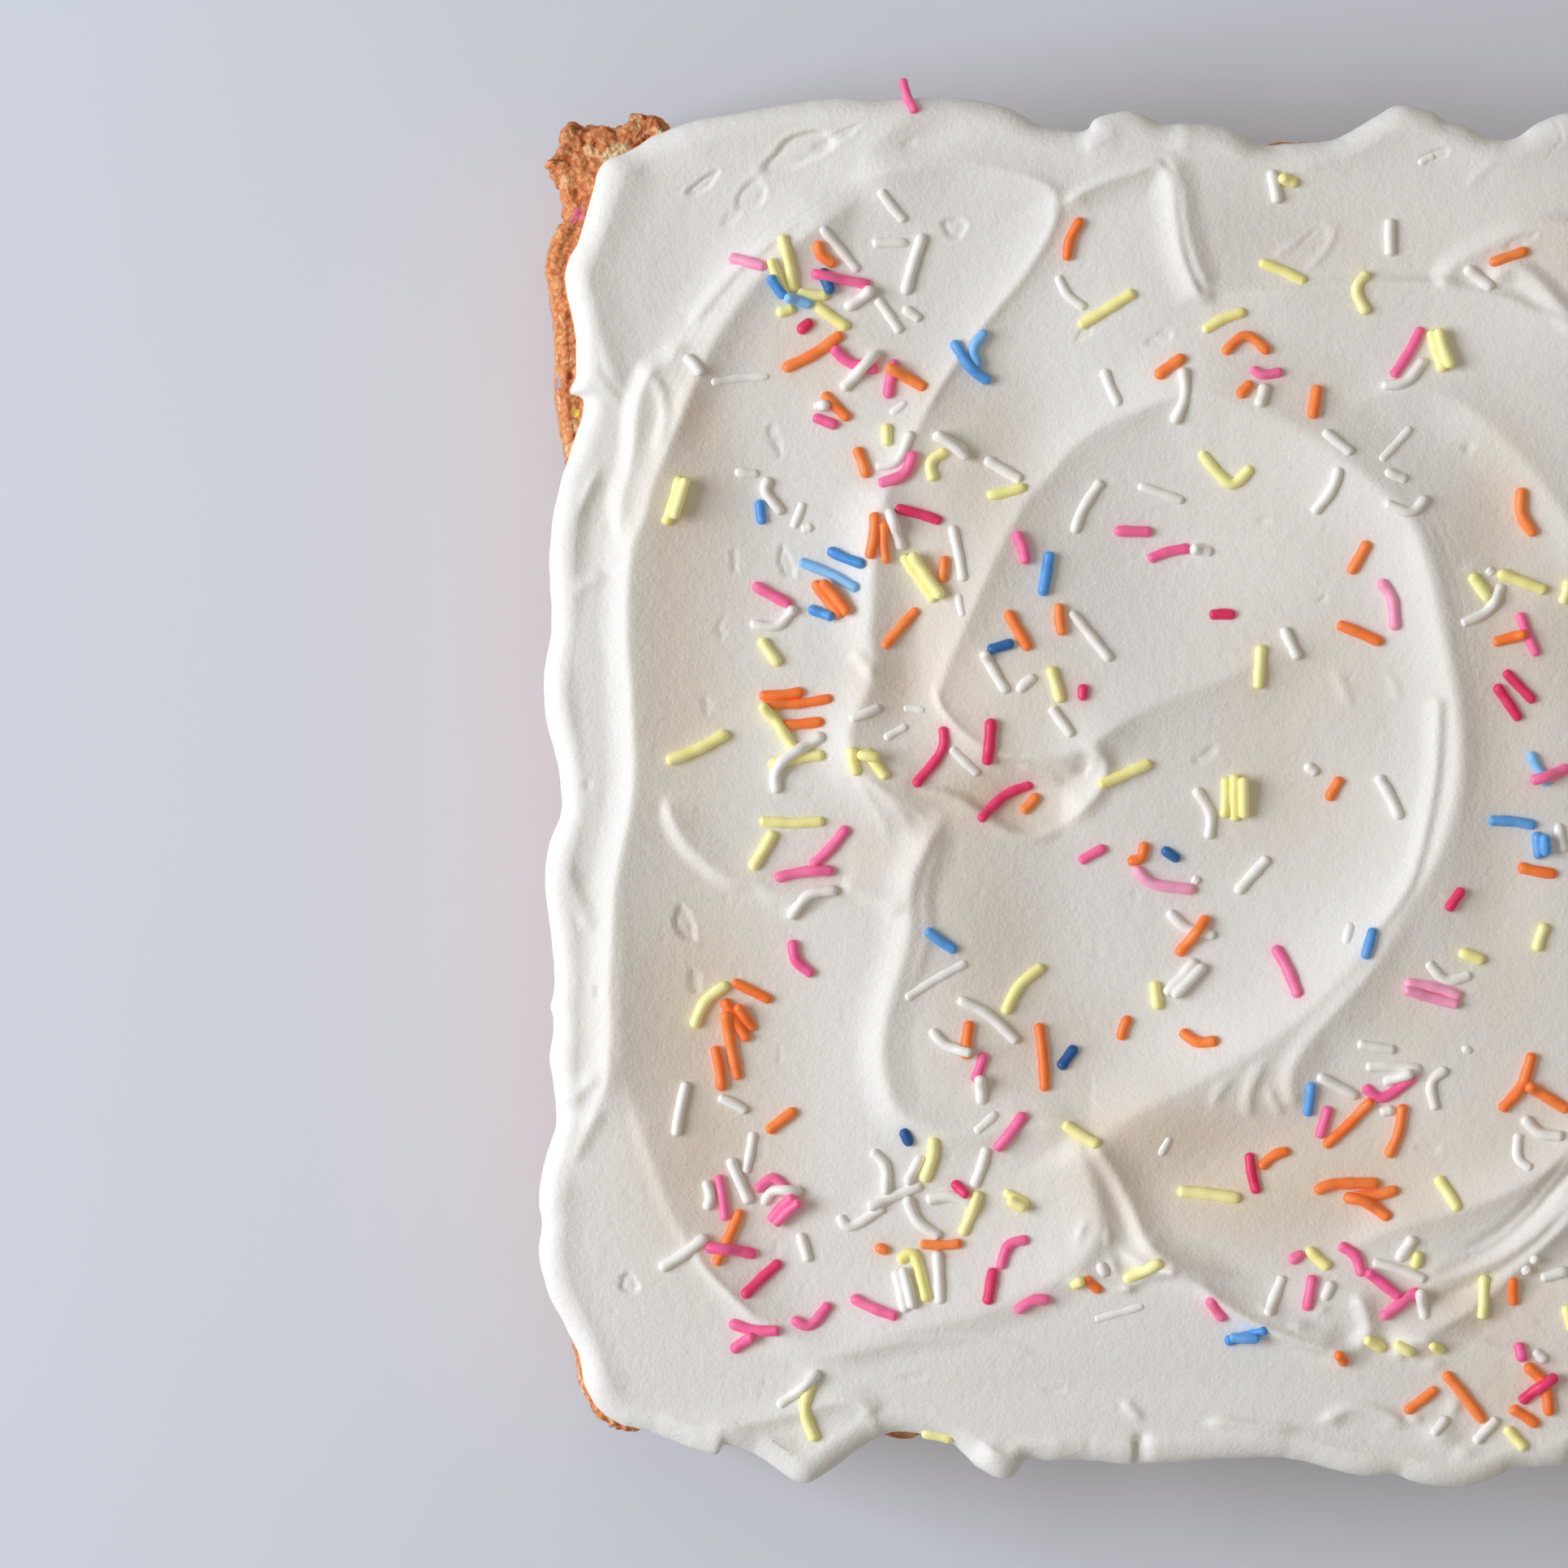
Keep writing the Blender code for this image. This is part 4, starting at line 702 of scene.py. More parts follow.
# ---------------------------------------------------------------- the sponge
def crumb(points):
    """How far the crumb stands out at each point in millimetres, how deep in a pore or crease it is (0 to 1), which
    sets the painted shade there, and the shade of its grain.
    """
    out, pore_shade, shade = np.zeros(len(points)), np.zeros(len(points)), np.zeros(len(points))
    for k, (x, y, z) in enumerate(points):
        p = Vector((x * 1000, y * 1000, z * 1000))
        lumps = noise.noise(p * 0.07) * 0.5 + noise.noise(p * 0.33) * 0.36
        d, at = noise.voronoi(p * 0.40)
        size = 0.28 + 0.36 * noise.noise(at[0] * 3.7)
        hole = min(1.0, max(0.0, (size - d[0]) / 0.16))
        bent = p * 1.12 + Vector((noise.noise(p * 0.9), noise.noise(p * 0.9 + Vector((5.0, 0.0, 0.0))), 0.0)) * 0.5
        d2, at2 = noise.voronoi(bent)
        crease = 1.0 - min(1.0, (d2[1] - d2[0]) / 0.34)
        grain = noise.noise(at2[0] * 5.3)
        out[k] = lumps - 0.66 * hole - 0.34 * crease * crease + 0.16 * grain
        # painted shade: pores and creases are marked here to be coloured dark
        pore_shade[k] = max(hole, 0.62 * crease)
        shade[k] = 0.5 + 0.8 * grain
    return out, pore_shade, np.clip(shade, 0, 1)


def make_sponge():
    # columns stand closest where the open crumb shows, along the far left corner
    xs = np.concatenate([np.arange(0.0, 150.0, 3.0), np.linspace(150.0, 2400.0, 345)]) / 2400.0
    ys = np.concatenate([np.linspace(0.0, 1040.0, 170), np.arange(1043.0, 1639.0, 3.0), [1640.0]]) / 1640.0
    us, vs = xs, ys
    wall = sponge_wall(us, vs)
    n = outward(blur_loop(wall, 16.0, 5.0)) * [1, -1]
    wx, wy = place(wall[:, 0], wall[:, 1])
    count = len(wall)
    ux, uy = wall[:, 0], wall[:, 1]
    # the far left corner, where the side has torn and stands rough
    torn = np.exp(-((ux - 700) / 110.0) ** 2 - ((uy - 160) / 110.0) ** 2)
    # pan corners are tight at the base; the base draws in a little and the side swells
    swell = []
    for z in np.concatenate([[0.0, 0.35, 0.9, 1.7], np.linspace(2.6, 35.4, 52), [36.1, 36.8, 37.4, 38.0]]):
        t = z / 38.0
        bulge = 1.1 * math.sin(math.pi * min(1.0, t * 1.05)) ** 0.8 if t < 0.95 else 0.2
        foot = -1.3 * math.exp(-z / 0.9)
        top = -1.5 * smooth((z - 35.2) / 2.8) ** 2
        swell.append((z, bulge + foot + top))
    verts = []
    for z, off in swell:
        offset = off * MM * (1 - 0.55 * torn)
        verts.append(np.stack([wx + n[:, 0] * offset, wy + n[:, 1] * offset, np.full(count, z * MM)], -1))
    inward = (0.35, 0.7, 1.1, 1.5, 1.9, 2.4, 2.9, 3.5, 4.1, 4.8, 5.7, 6.8, 8.2, 10.0, 12.0)
    calm = blur_loop(np.stack([wx, wy], -1), 30.0, 5.0)
    for k, depth in enumerate(inward):
        share = depth / inward[-1]
        base_x = wx * (1 - share) + calm[:, 0] * share
        base_y = wy * (1 - share) + calm[:, 1] * share
        verts.append(np.stack([base_x - n[:, 0] * (1.5 + depth) * MM, base_y - n[:, 1] * (1.5 + depth) * MM, np.full(count, SPONGE_TOP)], -1))
    rings = len(verts)
    points = np.concatenate(verts)
    out, pore_shade, shade = crumb(points)
    normals = np.zeros_like(points)
    for r in range(rings):
        rows = slice(r * count, (r + 1) * count)
        on_side = r < len(swell) - 3
        if on_side:
            normals[rows, 0], normals[rows, 1] = n[:, 0], n[:, 1]
        elif r < len(swell):
            normals[rows, 0], normals[rows, 1], normals[rows, 2] = n[:, 0] * 0.7, n[:, 1] * 0.7, 0.7
        else:
            normals[rows, 2] = 1.0
    ring_of = np.repeat(np.arange(rings), count)
    strength = np.ones(len(points))
    strength[ring_of == 0] = 0.0
    strength[ring_of == 1] = 0.25
    strength[ring_of == 2] = 0.6
    # the top is trimmed flat under the frosting, so the crumb there only goes down
    top_rings = ring_of >= len(swell)
    amount = out * strength
    amount[top_rings] = np.minimum(amount[top_rings] - 0.35, -0.05)
    torn_all = np.tile(torn, rings)
    ragged = torn_all * np.array([noise.noise((x * 260, y * 260, z * 260)) * 1.7 + noise.noise((x * 640, y * 640, z * 640)) * 0.8 for x, y, z in points])
    amount += np.where(top_rings, np.minimum(ragged, 0), ragged) * strength
    points = points + normals * amount[:, None] * MM
    points[ring_of == 0, 2] = 0.0
    points[:, 2] = np.clip(points[:, 2], 0.0, SPONGE_TOP)
    faces = []
    for r in range(rings - 1):
        low = np.arange(r * count, (r + 1) * count)
        faces.append(ring_faces(low, low + count)[:, ::-1])
    faces.append(np.arange(count)[::-1])
    faces.append(np.arange((rings - 1) * count, rings * count))
    thing = mesh_object("sponge_crumb", points, faces)
    # painted shade for the pores and creases
    colour_layer(thing.data, "pore_shade", np.repeat(pore_shade[:, None], 3, 1))
    colour_layer(thing.data, "shade", np.repeat(shade[:, None], 3, 1))
    # colour flecks baked into the crumb
    rng = random.Random(12)
    fleck = np.zeros((len(points), 4), np.float32)
    palette = [(0.83, 0.20, 0.33), (0.90, 0.62, 0.09), (0.18, 0.42, 0.72), (0.88, 0.32, 0.08), (0.35, 0.60, 0.25)]
    pale = (1.0, 0.80, 0.46)
    spots = [((*place(708, 254), 0.0376), 0.0012, palette[0]), ((*place(702, 262), 0.0372), 0.0008, palette[0]), ((*place(706, 503), 0.0376), 0.0010, palette[1]),
             ((*place(750, 184), 0.0378), 0.0020, pale), ((*place(758, 172), 0.0378), 0.0014, pale), ((*place(790, 158), 0.0378), 0.0012, pale), ((*place(812, 152), 0.0378), 0.0010, pale)]
    for _ in range(230):
        k = rng.randrange(count)
        z = rng.uniform(0.003, 0.036)
        spots.append(((wx[k] + n[k, 0] * 0.001, wy[k] + n[k, 1] * 0.001, z), rng.uniform(0.0009, 0.0019), rng.choice(palette)))
    for (x, y, z), r, colour in spots:
        stretch = rng.uniform(0.6, 1.6)
        dx, dy, dz = points[:, 0] - x, points[:, 1] - y, points[:, 2] - z
        d = np.sqrt((dx * dx + dy * dy) * stretch + dz * dz / stretch) / r
        weight = smooth((1.15 - d) / 0.5)
        hit = weight > fleck[:, 3]
        fleck[hit, :3] = colour
        fleck[hit, 3] = weight[hit]
    layer = thing.data.color_attributes.new("fleck", "FLOAT_COLOR", "POINT")
    layer.data.foreach_set("color", fleck.ravel())
    return thing

# ---------------------------------------------------------------- sprinkles
# Kind, then way points in drawing units. P pink, L light pink, R red-pink, O orange, Y yellow, B blue, D dark blue,
# S light blue, W white, w white and sunk deeper.
STRANDS = """
L 899 317 943 330; Y 963 291 972 325 978 358; Y 949 320 968 364; Y 983 360 1019 363; Y 1003 374 1045 404; Y 957 385 978 379; B 948 341 967 368; S 967 368 1000 376
O 1007 298 1012 315 1029 325; D 1013 331 1024 361; P 999 337 1072 350; R 984 409 1000 395; O 965 454 1037 411; P 1026 428 1045 445 1081 455; O 1014 484 1046 516
P 1002 513 1032 524; W 1011 280 1058 334; W 1042 379 1075 355; W 844 440 852 446 865 462; w 874 471 949 463; W 1038 479 1081 433; w 1002 500 1021 500
P 1112 94 1128 140; W 1084 234 1115 272; w 1075 299 1118 298; W 1137 288 1125 325 1115 361; W 1080 366 1110 409; W 1113 379 1134 393; S 1214 408 1199 430 1206 452
B 1174 420 1198 455 1220 470; O 1332 269 1318 295 1314 321; W 1303 339 1315 362 1338 380; Y 1330 401 1397 360; O 1424 465 1458 440; w 1360 454 1379 500
W 1456 454 1459 487 1446 522; P 1102 443 1094 490; O 1092 452 1140 478; Y 1092 522 1093 549; w 1118 494 1096 510; W 1150 535 1191 557
W 1566 210 1574 250; Y 1576 218 1598 226; W 1713 270 1713 315; w 1747 202 1769 192; Y 1552 323 1608 347; Y 1684 337 1670 357 1683 387; O 1833 326 1880 310
W 1804 331 1837 357; Y 1482 408 1534 384; O 1506 436 1534 414 1563 435; P 1541 454 1552 462 1579 459; O 1541 473 1525 490; W 1557 474 1549 502; O 1622 476 1615 516
P 1751 404 1715 465; W 1754 443 1731 471 1702 476; Y 1762 408 1768 430 1778 458; Y 1770 406 1776 430 1786 454; W 1629 532 1664 560; w 1739 526 1699 569
Y 838 588 820 647; Y 846 590 830 640; w 905 581 934 583; B 936 615 939 645; W 948 588 942 602 963 632; w 990 618 977 650; w 987 651 1003 648; O 1055 551 1068 588
O 1078 632 1071 688; O 1089 643 1092 694; B 1020 677 1065 696; S 985 691 1058 726; O 1003 716 1036 760; O 1012 716 1045 756; B 996 749 1027 761; P 928 720 974 745
W 979 747 958 771 924 768; Y 937 787 960 819; O 936 857 990 852; O 939 867 1025 860; O 963 894 1014 889; Y 937 868 980 927; Y 947 943 1015 930; W 1014 905 958 946 956 977
Y 822 938 896 903; Y 1049 921 1050 938 1056 955; Y 1066 924 1092 959; Y 1056 930 1082 934; w 1047 886 1084 871; W 1095 628 1111 677
W 1123 532 1104 569 1079 575; P 1126 557 1114 584 1083 596; Y 1165 556 1146 569 1150 592; W 1152 534 1192 565; W 1214 565 1259 591; Y 1217 610 1264 599
R 1103 626 1160 642; w 1173 647 1187 717; w 1181 730 1187 761; Y 1112 684 1152 740; Y 1122 682 1160 736; O 1164 685 1161 717; O 1130 750 1088 798; P 1252 656 1264 694
B 1294 680 1285 733; W 1358 591 1334 628 1324 656; W 1404 597 1460 616; Y 1480 556 1503 584 1519 596 1543 575; P 1375 653 1420 654; P 1417 688 1440 679 1468 674
W 1469 675 1496 679; O 1241 753 1268 800; O 1305 744 1309 782; W 1319 753 1369 814; D 1217 801 1249 792; W 1211 803 1241 854; W 1254 852 1275 833; Y 1294 822 1307 865
W 1295 871 1321 907; R 1335 843 1334 863; R 1492 757 1523 757; R 1221 886 1216 942; R 1162 895 1162 921 1126 969; w 1171 921 1206 954; R 1273 966 1241 979 1206 1011
O 1280 979 1260 1001; Y 1354 967 1418 940; w 1112 873 1142 876; w 1088 911 1119 894; Y 1554 795 1551 848; W 1582 773 1600 812
W 1649 576 1641 602 1619 632; w 1705 581 1732 592; W 1756 613 1737 632 1705 621; O 1686 667 1664 706; L 1700 715 1715 736 1719 776; O 1649 769 1703 792
O 1874 602 1874 634 1890 659; Y 1812 709 1834 739; w 1833 702 1838 706; Y 1845 706 1904 728; Y 1932 714 1925 744; W 1850 720 1833 752 1799 769; P 1871 755 1893 808
O 1839 792 1879 781; R 1853 827 1890 865; R 1842 844 1872 887; S 1884 927 1908 967; P 1885 962 1932 946; O 1654 958 1638 986; W 1611 942 1625 953; W 1699 956 1726 1009
Y 936 1012 1015 1012; Y 953 1025 926 1071; P 1044 1019 999 1068; P 955 1082 1027 1073; W 1031 1097 996 1103 972 1132; P 976 1159 980 1183 1001 1202
Y 896 1213 869 1234 854 1266; O 902 1210 950 1234; O 891 1232 921 1283; O 907 1239 929 1270; O 893 1247 909 1331; O 880 1290 889 1345; W 845 1334 832 1400
W 885 1353 920 1371; O 980 1369 945 1396; W 928 1396 918 1448; D 1112 1392 1122 1412
P 1331 1062 1364 1044; O 1412 1038 1407 1058 1391 1062; D 1434 1046 1455 1060; L 1401 1070 1417 1087 1474 1097; w 1474 1084 1478 1086; W 1474 971 1493 1004 1491 1034
Y 1512 958 1510 1008; Y 1522 954 1524 1012; Y 1532 958 1534 1008; W 1565 1057 1526 1101; B 1141 1146 1178 1172; w 1192 1186 1115 1231; W 1181 1232 1216 1250 1254 1285
Y 1286 1191 1257 1215 1238 1250; W 1442 1124 1464 1144 1500 1154; O 1490 1130 1453 1178; W 1476 1184 1438 1226; W 1486 1190 1447 1230; Y 1425 1211 1429 1245
O 1393 1254 1383 1283; O 1457 1272 1477 1285 1501 1283; O 1195 1259 1190 1305; W 1147 1269 1165 1288 1197 1298; P 1213 1298 1201 1334; W 1206 1326 1209 1361
O 1281 1262 1286 1304 1288 1345; D 1327 1291 1307 1318; P 1262 1372 1227 1417; Y 1311 1385 1353 1411; w 1229 1372 1201 1396; w 1442 1400 1429 1425; R 1541 1422 1550 1472
R 1802 1095 1783 1122; B 1691 1143 1680 1181; w 1667 1138 1659 1164; P 1573 1167 1587 1192 1601 1229; B 1834 1011 1892 1017; B 1893 1025 1896 1058; B 1902 1028 1904 1054
O 1871 1068 1917 1077; W 1920 1015 1928 1049; Y 1904 1138 1893 1172; Y 1799 1173 1828 1184; w 1759 1186 1782 1208 1813 1202; L 1731 1211 1800 1228; L 1729 1219 1797 1238
W 1673 1286 1719 1294; W 1684 1315 1751 1317; W 1624 1326 1673 1352; P 1681 1339 1702 1353 1743 1326; W 1705 1334 1740 1321; B 1616 1334 1612 1376; P 1638 1364 1627 1403
O 1691 1355 1633 1414; W 1702 1371 1719 1368; O 1729 1361 1724 1396 1711 1427; W 1783 1317 1764 1333 1769 1368; w 1801 1290 1815 1296; O 1888 1298 1874 1339 1849 1368
O 1880 1337 1932 1368; W 1877 1377 1896 1396 1925 1400; W 1871 1396 1871 1428 1887 1441; O 1590 1419 1571 1425 1554 1441; Y 1453 1469 1528 1478; O 1622 1469 1641 1461 1700 1459
O 1670 1475 1723 1467; O 1657 1476 1680 1480 1713 1502; Y 1772 1451 1796 1491
W 899 1429 907 1448 923 1484; W 869 1456 875 1476 870 1491; P 885 1449 893 1505; P 931 1469 952 1453 972 1470; W 940 1486 952 1469 987 1469; P 978 1474 948 1506; P 986 1480 954 1511
O 912 1492 881 1559; P 870 1537 931 1547; W 870 1524 813 1563; R 961 1556 915 1598; W 985 1521 996 1556; P 976 1625 996 1634 1022 1607; P 899 1630 960 1639
P 929 1644 901 1665; P 1049 1599 1105 1622; O 1079 1537 1095 1543; Y 999 1703 991 1735 1004 1775; W 1009 1690 958 1733; w 1034 1499 1044 1513 1089 1489; W 1069 1489 1136 1462
W 1074 1419 1091 1438 1091 1473
Y 1150 1402 1149 1425 1138 1457; W 1136 1425 1117 1461; W 1117 1476 1130 1505 1158 1526; W 1142 1480 1171 1475 1197 1484; R 1174 1457 1193 1475; Y 1206 1469 1185 1524
W 1216 1414 1200 1464; Y 1238 1469 1268 1485; Y 1242 1478 1264 1490; O 1134 1534 1185 1533; Y 1107 1556 1123 1545 1142 1604; W 1104 1566 1115 1617; W 1112 1562 1124 1612
W 1155 1543 1158 1607; R 1224 1563 1216 1606; P 1267 1528 1244 1534 1232 1564; P 1292 1601 1273 1601 1251 1615; O 1335 1574 1356 1591; Y 1320 1585 1334 1575; Y 1429 1553 1385 1577
W 1354 1556 1362 1572; w 1348 1626 1410 1609; P 1488 1598 1507 1626; B 1509 1653 1560 1636; B 1514 1646 1550 1648; Y 1136 1768 1174 1776
P 1589 1555 1606 1545; Y 1611 1539 1638 1563; P 1651 1535 1670 1547 1678 1572; P 1683 1566 1724 1598; P 1747 1590 1702 1623; P 1617 1571 1609 1614; W 1581 1572 1560 1620
w 1641 1579 1630 1601; Y 1748 1543 1743 1563; W 1742 1524 1723 1553; W 1692 1556 1756 1577; Y 1829 1571 1826 1625; O 1864 1574 1866 1609; W 1748 1588 1756 1626
W 1888 1550 1892 1553; W 1878 1563 1882 1566; W 1900 1575 1932 1566; O 1644 1665 1657 1682; Y 1681 1649 1705 1663; Y 1718 1655 1740 1668; Y 1761 1655 1778 1665
O 1780 1692 1801 1716 1828 1752; O 1770 1711 1731 1740; P 1872 1655 1877 1677; O 1880 1682 1903 1706 1909 1744; R 1917 1695 1874 1728; O 1861 1735 1895 1757
Y 1855 1759 1879 1786; W 1845 1748 1817 1778; W 1783 1746 1764 1767; W 1890 1665 1906 1677; Y 1930 1609 1938 1640
"""
KINDS = {  # letter: (piece, sunk share)
    "P": ("pink", 0.37), "L": ("pale_pink", 0.37), "R": ("rose", 0.37), "O": ("orange", 0.37), "Y": ("yellow", 0.40), "B": ("blue", 0.37),
    "D": ("dark_blue", 0.38), "S": ("sky_blue", 0.37), "W": ("white", 0.50), "w": ("white", 0.68),
}
STRAND_RADIUS = 6.7                    # drawing units


def strands():
    """Every strand as (kind, way points): the ones laid out above, then a seeded scatter over the half beyond."""
    found = []
    for entry in STRANDS.replace("\n", ";").split(";"):
        fields = entry.split()
        if fields:
            numbers = [float(v) for v in fields[1:]]
            found.append((fields[0], list(zip(numbers[::2], numbers[1::2]))))
    rng = random.Random(2607)
    letters = "P" * 9 + "L" * 2 + "R" * 4 + "O" * 12 + "Y" * 11 + "B" * 4 + "D" * 2 + "S" * 2 + "W" * 17 + "w" * 7
    clusters = [(rng.uniform(2010, 3020), rng.uniform(230, 1720)) for _ in range(22)]
    for _ in range(235):
        if rng.random() < 0.42:
            cx, cy = rng.choice(clusters)
            x, y = rng.gauss(cx, 48), rng.gauss(cy, 48)
        else:
            x, y = rng.uniform(1962, 3070), rng.uniform(190, 1770)
        if not (1958 < x < 3068 and 185 < y < 1772):
            continue
        turn = rng.uniform(0, 2 * math.pi)
        length = rng.choice((18, 30, 38, 44, 50, 54, 60, 66, 74)) * rng.uniform(0.85, 1.15)
        bend = rng.gauss(0, 0.35) if rng.random() < 0.45 else rng.gauss(0, 0.06)
        hx, hy = math.cos(turn) * length / 2, math.sin(turn) * length / 2
        mid = (x - hy * bend, y + hx * bend)
        found.append((rng.choice(letters), [(x - hx, y - hy), mid, (x + hx, y + hy)]))
    return found


def lay_strands(surface):
    """Every strand with its centre line in metres, lying on the frosting or on the strands under it."""
    tree = BVHTree.FromPolygons(*surface)
    rng = random.Random(77)
    laid, centres = [], []
    taken = np.zeros((0, 3))
    for letter, points in strands():
        radius = STRAND_RADIUS * GRAIN * rng.uniform(0.92, 1.07)
        if len(points) > 2:
            path = path_of(points, step=4.0)
        else:
            (ax, ay), (bx, by) = points
            sag = rng.gauss(0, 0.025)
            path = path_of([(ax, ay), ((ax + bx) / 2 - (by - ay) * sag, (ay + by) / 2 + (bx - ax) * sag), (bx, by)], step=4.0)
        length = np.concatenate([[0], np.cumsum(np.hypot(*np.diff(path, axis=0).T))])
        cut = min(STRAND_RADIUS * 0.75, length[-1] * 0.42)          # the way points reach the strand's tips
        count = max(4, int((length[-1] - 2 * cut) / 6.0) + 2)
        at = np.linspace(cut, length[-1] - cut, count)
        ux, uy = (np.interp(at, length, path[:, k]) for k in (0, 1))
        x, y = place(ux, uy)
        ground, missed = [], 0
        for px, py in zip(x, y):
            hit = tree.ray_cast(Vector((px, py, 0.2)), Vector((0, 0, -1)))
            ground.append(hit[0].z if hit[0] is not None and hit[0].z > SPONGE_TOP - 0.004 else np.nan)
        ground = np.array(ground)
        if np.isnan(ground).all():
            continue
        good = ~np.isnan(ground)
        ground = np.interp(at, at[good], ground[good])
        sunk = KINDS[letter][1] * rng.uniform(0.8, 1.25)
        need = ground + radius * (1 - 2 * sunk)
        if len(taken):
            for k in range(count):
                d = np.hypot(taken[:, 0] - x[k], taken[:, 1] - y[k])
                close = d < 1.9 * radius
                if close.any():
                    lift = taken[close, 2] + np.sqrt(np.maximum((1.9 * radius) ** 2 - d[close] ** 2, 0)) * 0.86
                    need[k] = max(need[k], lift.max())
        s = (at - at.mean()) / max(at[-1] - at[0], 1e-6)
        slope, level = np.polyfit(s, need, 1)
        line = level + slope * s
        z = 0.45 * line + 0.55 * need if letter not in "w" else need
        z = np.maximum(z, need - 0.35 * radius)
        if count > 4:
            z[1:-1] = (z[:-2] + 2 * z[1:-1] + z[2:]) / 4
        centre = np.stack([x, y, z], -1)
        laid.append((letter, radius, centre, rng.random()))
        taken = np.concatenate([taken, centre])
    return laid


def strand_mesh(radius, centre, seed):
    """A slightly uneven strand with blunt rounded ends: vertices and quads."""
    around, rng = 10, random.Random(seed)
    d = np.gradient(centre, axis=0)
    d /= np.linalg.norm(d, axis=1)[:, None]
    start_cap = [(-0.80 * radius, 0.30), (-0.66 * radius, 0.66), (-0.34 * radius, 0.92)]
    profile = [(centre[0] + d[0] * s, r, d[0]) for s, r in start_cap]
    profile += [(c, 1.0, t) for c, t in zip(centre, d)]
    profile += [(centre[-1] - d[-1] * s, r, d[-1]) for s, r in reversed(start_cap)]
    verts, phase = [], rng.uniform(0, 6.28)
    for k, (c, share, t) in enumerate(profile):
        side = np.cross(t, (0, 0, 1.0))
        side /= max(np.linalg.norm(side), 1e-9)
        up = np.cross(side, t)
        r = radius * share * (1 + 0.045 * math.sin(k * 1.3 + phase) + rng.uniform(-0.02, 0.02))
        for j in range(around):
            a = 2 * math.pi * j / around
            verts.append(c + r * (math.cos(a) * side + math.sin(a) * up))
    rings = len(profile)
    verts.append(profile[0][0] - d[0] * 0.06 * radius)
    verts.append(profile[-1][0] + d[-1] * 0.06 * radius)
    quads = []
    for k in range(rings - 1):
        for j in range(around):
            n = (j + 1) % around
            quads.append((k * around + j, k * around + n, (k + 1) * around + n, (k + 1) * around + j))
    tris = [(rings * around, (j + 1) % around, j) for j in range(around)]
    last = (rings - 1) * around
    tris += [(rings * around + 1, last + j, last + (j + 1) % around) for j in range(around)]
    return np.array(verts), np.array(quads)[:, ::-1], np.array(tris)[:, ::-1]


def make_sprinkles(laid):
    pieces = {}
    groups = {}
    for k, (letter, radius, centre, share) in enumerate(laid):
        groups.setdefault(KINDS[letter][0], []).append((radius, centre, share, k))
    for kind, members in groups.items():
        verts, quads, tris, tone, total = [], [], [], [], 0
        for radius, centre, share, k in members:
            v, q, t = strand_mesh(radius, centre, k)
            verts.append(v)
            quads.append(q + total)
            tris.append(t + total)
            tone.append(np.full(len(v), share))
            total += len(v)
        thing = mesh_object("sprinkles_" + kind, np.concatenate(verts), [np.concatenate(quads), np.concatenate(tris)])
        colour_layer(thing.data, "tone", np.repeat(np.concatenate(tone)[:, None], 3, 1))
        pieces[kind] = thing
    return pieces


# colours of the dye run out of each kind of strand, which also stand for the colour the strands bounce onto the
# frosting: painted reflection
BLEED_AND_BOUNCE = {"P": (0.93, 0.42, 0.55), "L": (0.95, 0.50, 0.60), "R": (0.90, 0.36, 0.48), "O": (0.96, 0.58, 0.36), "Y": (0.90, 0.80, 0.34), "B": (0.55, 0.70, 0.86),
         "D": (0.50, 0.64, 0.82), "S": (0.60, 0.78, 0.90)}


def dye_and_bounce(grid, laid, count):
    """The colour that has run out of the strands into the frosting round them, together with painted reflection of the
    strands' colour bounced onto it: colour and strength for each vertex.
    """
    field = Field(grid[..., 0], grid[..., 1])
    colour, strength = np.ones((count, 3)), np.zeros(count)
    for letter, radius, centre, share in laid:
        if letter not in BLEED_AND_BOUNCE:
            continue
        reach = 15.0 + 10.0 * share
        path = np.stack(drawing(centre[:, 0], centre[:, 1]), -1)
        index, signed, _, _ = field.near(path, reach)
        if not len(index):
            continue
        power = (0.16 + 0.24 * share) * (1 - np.abs(signed) / reach).clip(0, 1) ** 1.6
        stronger = power > strength[index]
        colour[index[stronger]] = BLEED_AND_BOUNCE[letter]
        strength[index[stronger]] = power[stronger]
    return colour, strength

# ---------------------------------------------------------------- materials
def material(name):
    made = bpy.data.materials.new(name)
    made.use_nodes = True
    tree = made.node_tree
    return made, tree, tree.nodes["Principled BSDF"]


def noise_node(tree, where, scale, detail=4.0, roughness=0.5, distortion=0.0):
    made = tree.nodes.new("ShaderNodeTexNoise")
    made.inputs["Scale"].default_value = scale
    made.inputs["Detail"].default_value = detail
    made.inputs["Roughness"].default_value = roughness
    made.inputs["Distortion"].default_value = distortion
    tree.links.new(where.outputs["Object"], made.inputs["Vector"])
    return made


def ramp(tree, source, stops):
    made = tree.nodes.new("ShaderNodeValToRGB")
    tree.links.new(source, made.inputs["Fac"])
    band = made.color_ramp
    while len(band.elements) < len(stops):
        band.elements.new(0.5)
    for element, (at, colour) in zip(band.elements, stops):
        element.position = at
        element.color = (*colour, 1.0)
    return made


def mix_colour(tree, factor, first, second, mode="MIX"):
    made = tree.nodes.new("ShaderNodeMix")
    made.data_type = "RGBA"
    made.blend_type = mode
    for socket, value in ((made.inputs[0], factor), (made.inputs[6], first), (made.inputs[7], second)):
        if isinstance(value, bpy.types.NodeSocket):
            tree.links.new(value, socket)
        elif isinstance(value, tuple):
            socket.default_value = (*value, 1.0)
        else:
            socket.default_value = value
    return made.outputs[2]


def bump(tree, height, strength, distance, before=None):
    made = tree.nodes.new("ShaderNodeBump")
    made.inputs["Strength"].default_value = strength
    made.inputs["Distance"].default_value = distance
    tree.links.new(height, made.inputs["Height"])
    if before is not None:
        tree.links.new(before, made.inputs["Normal"])
    return made.outputs["Normal"]


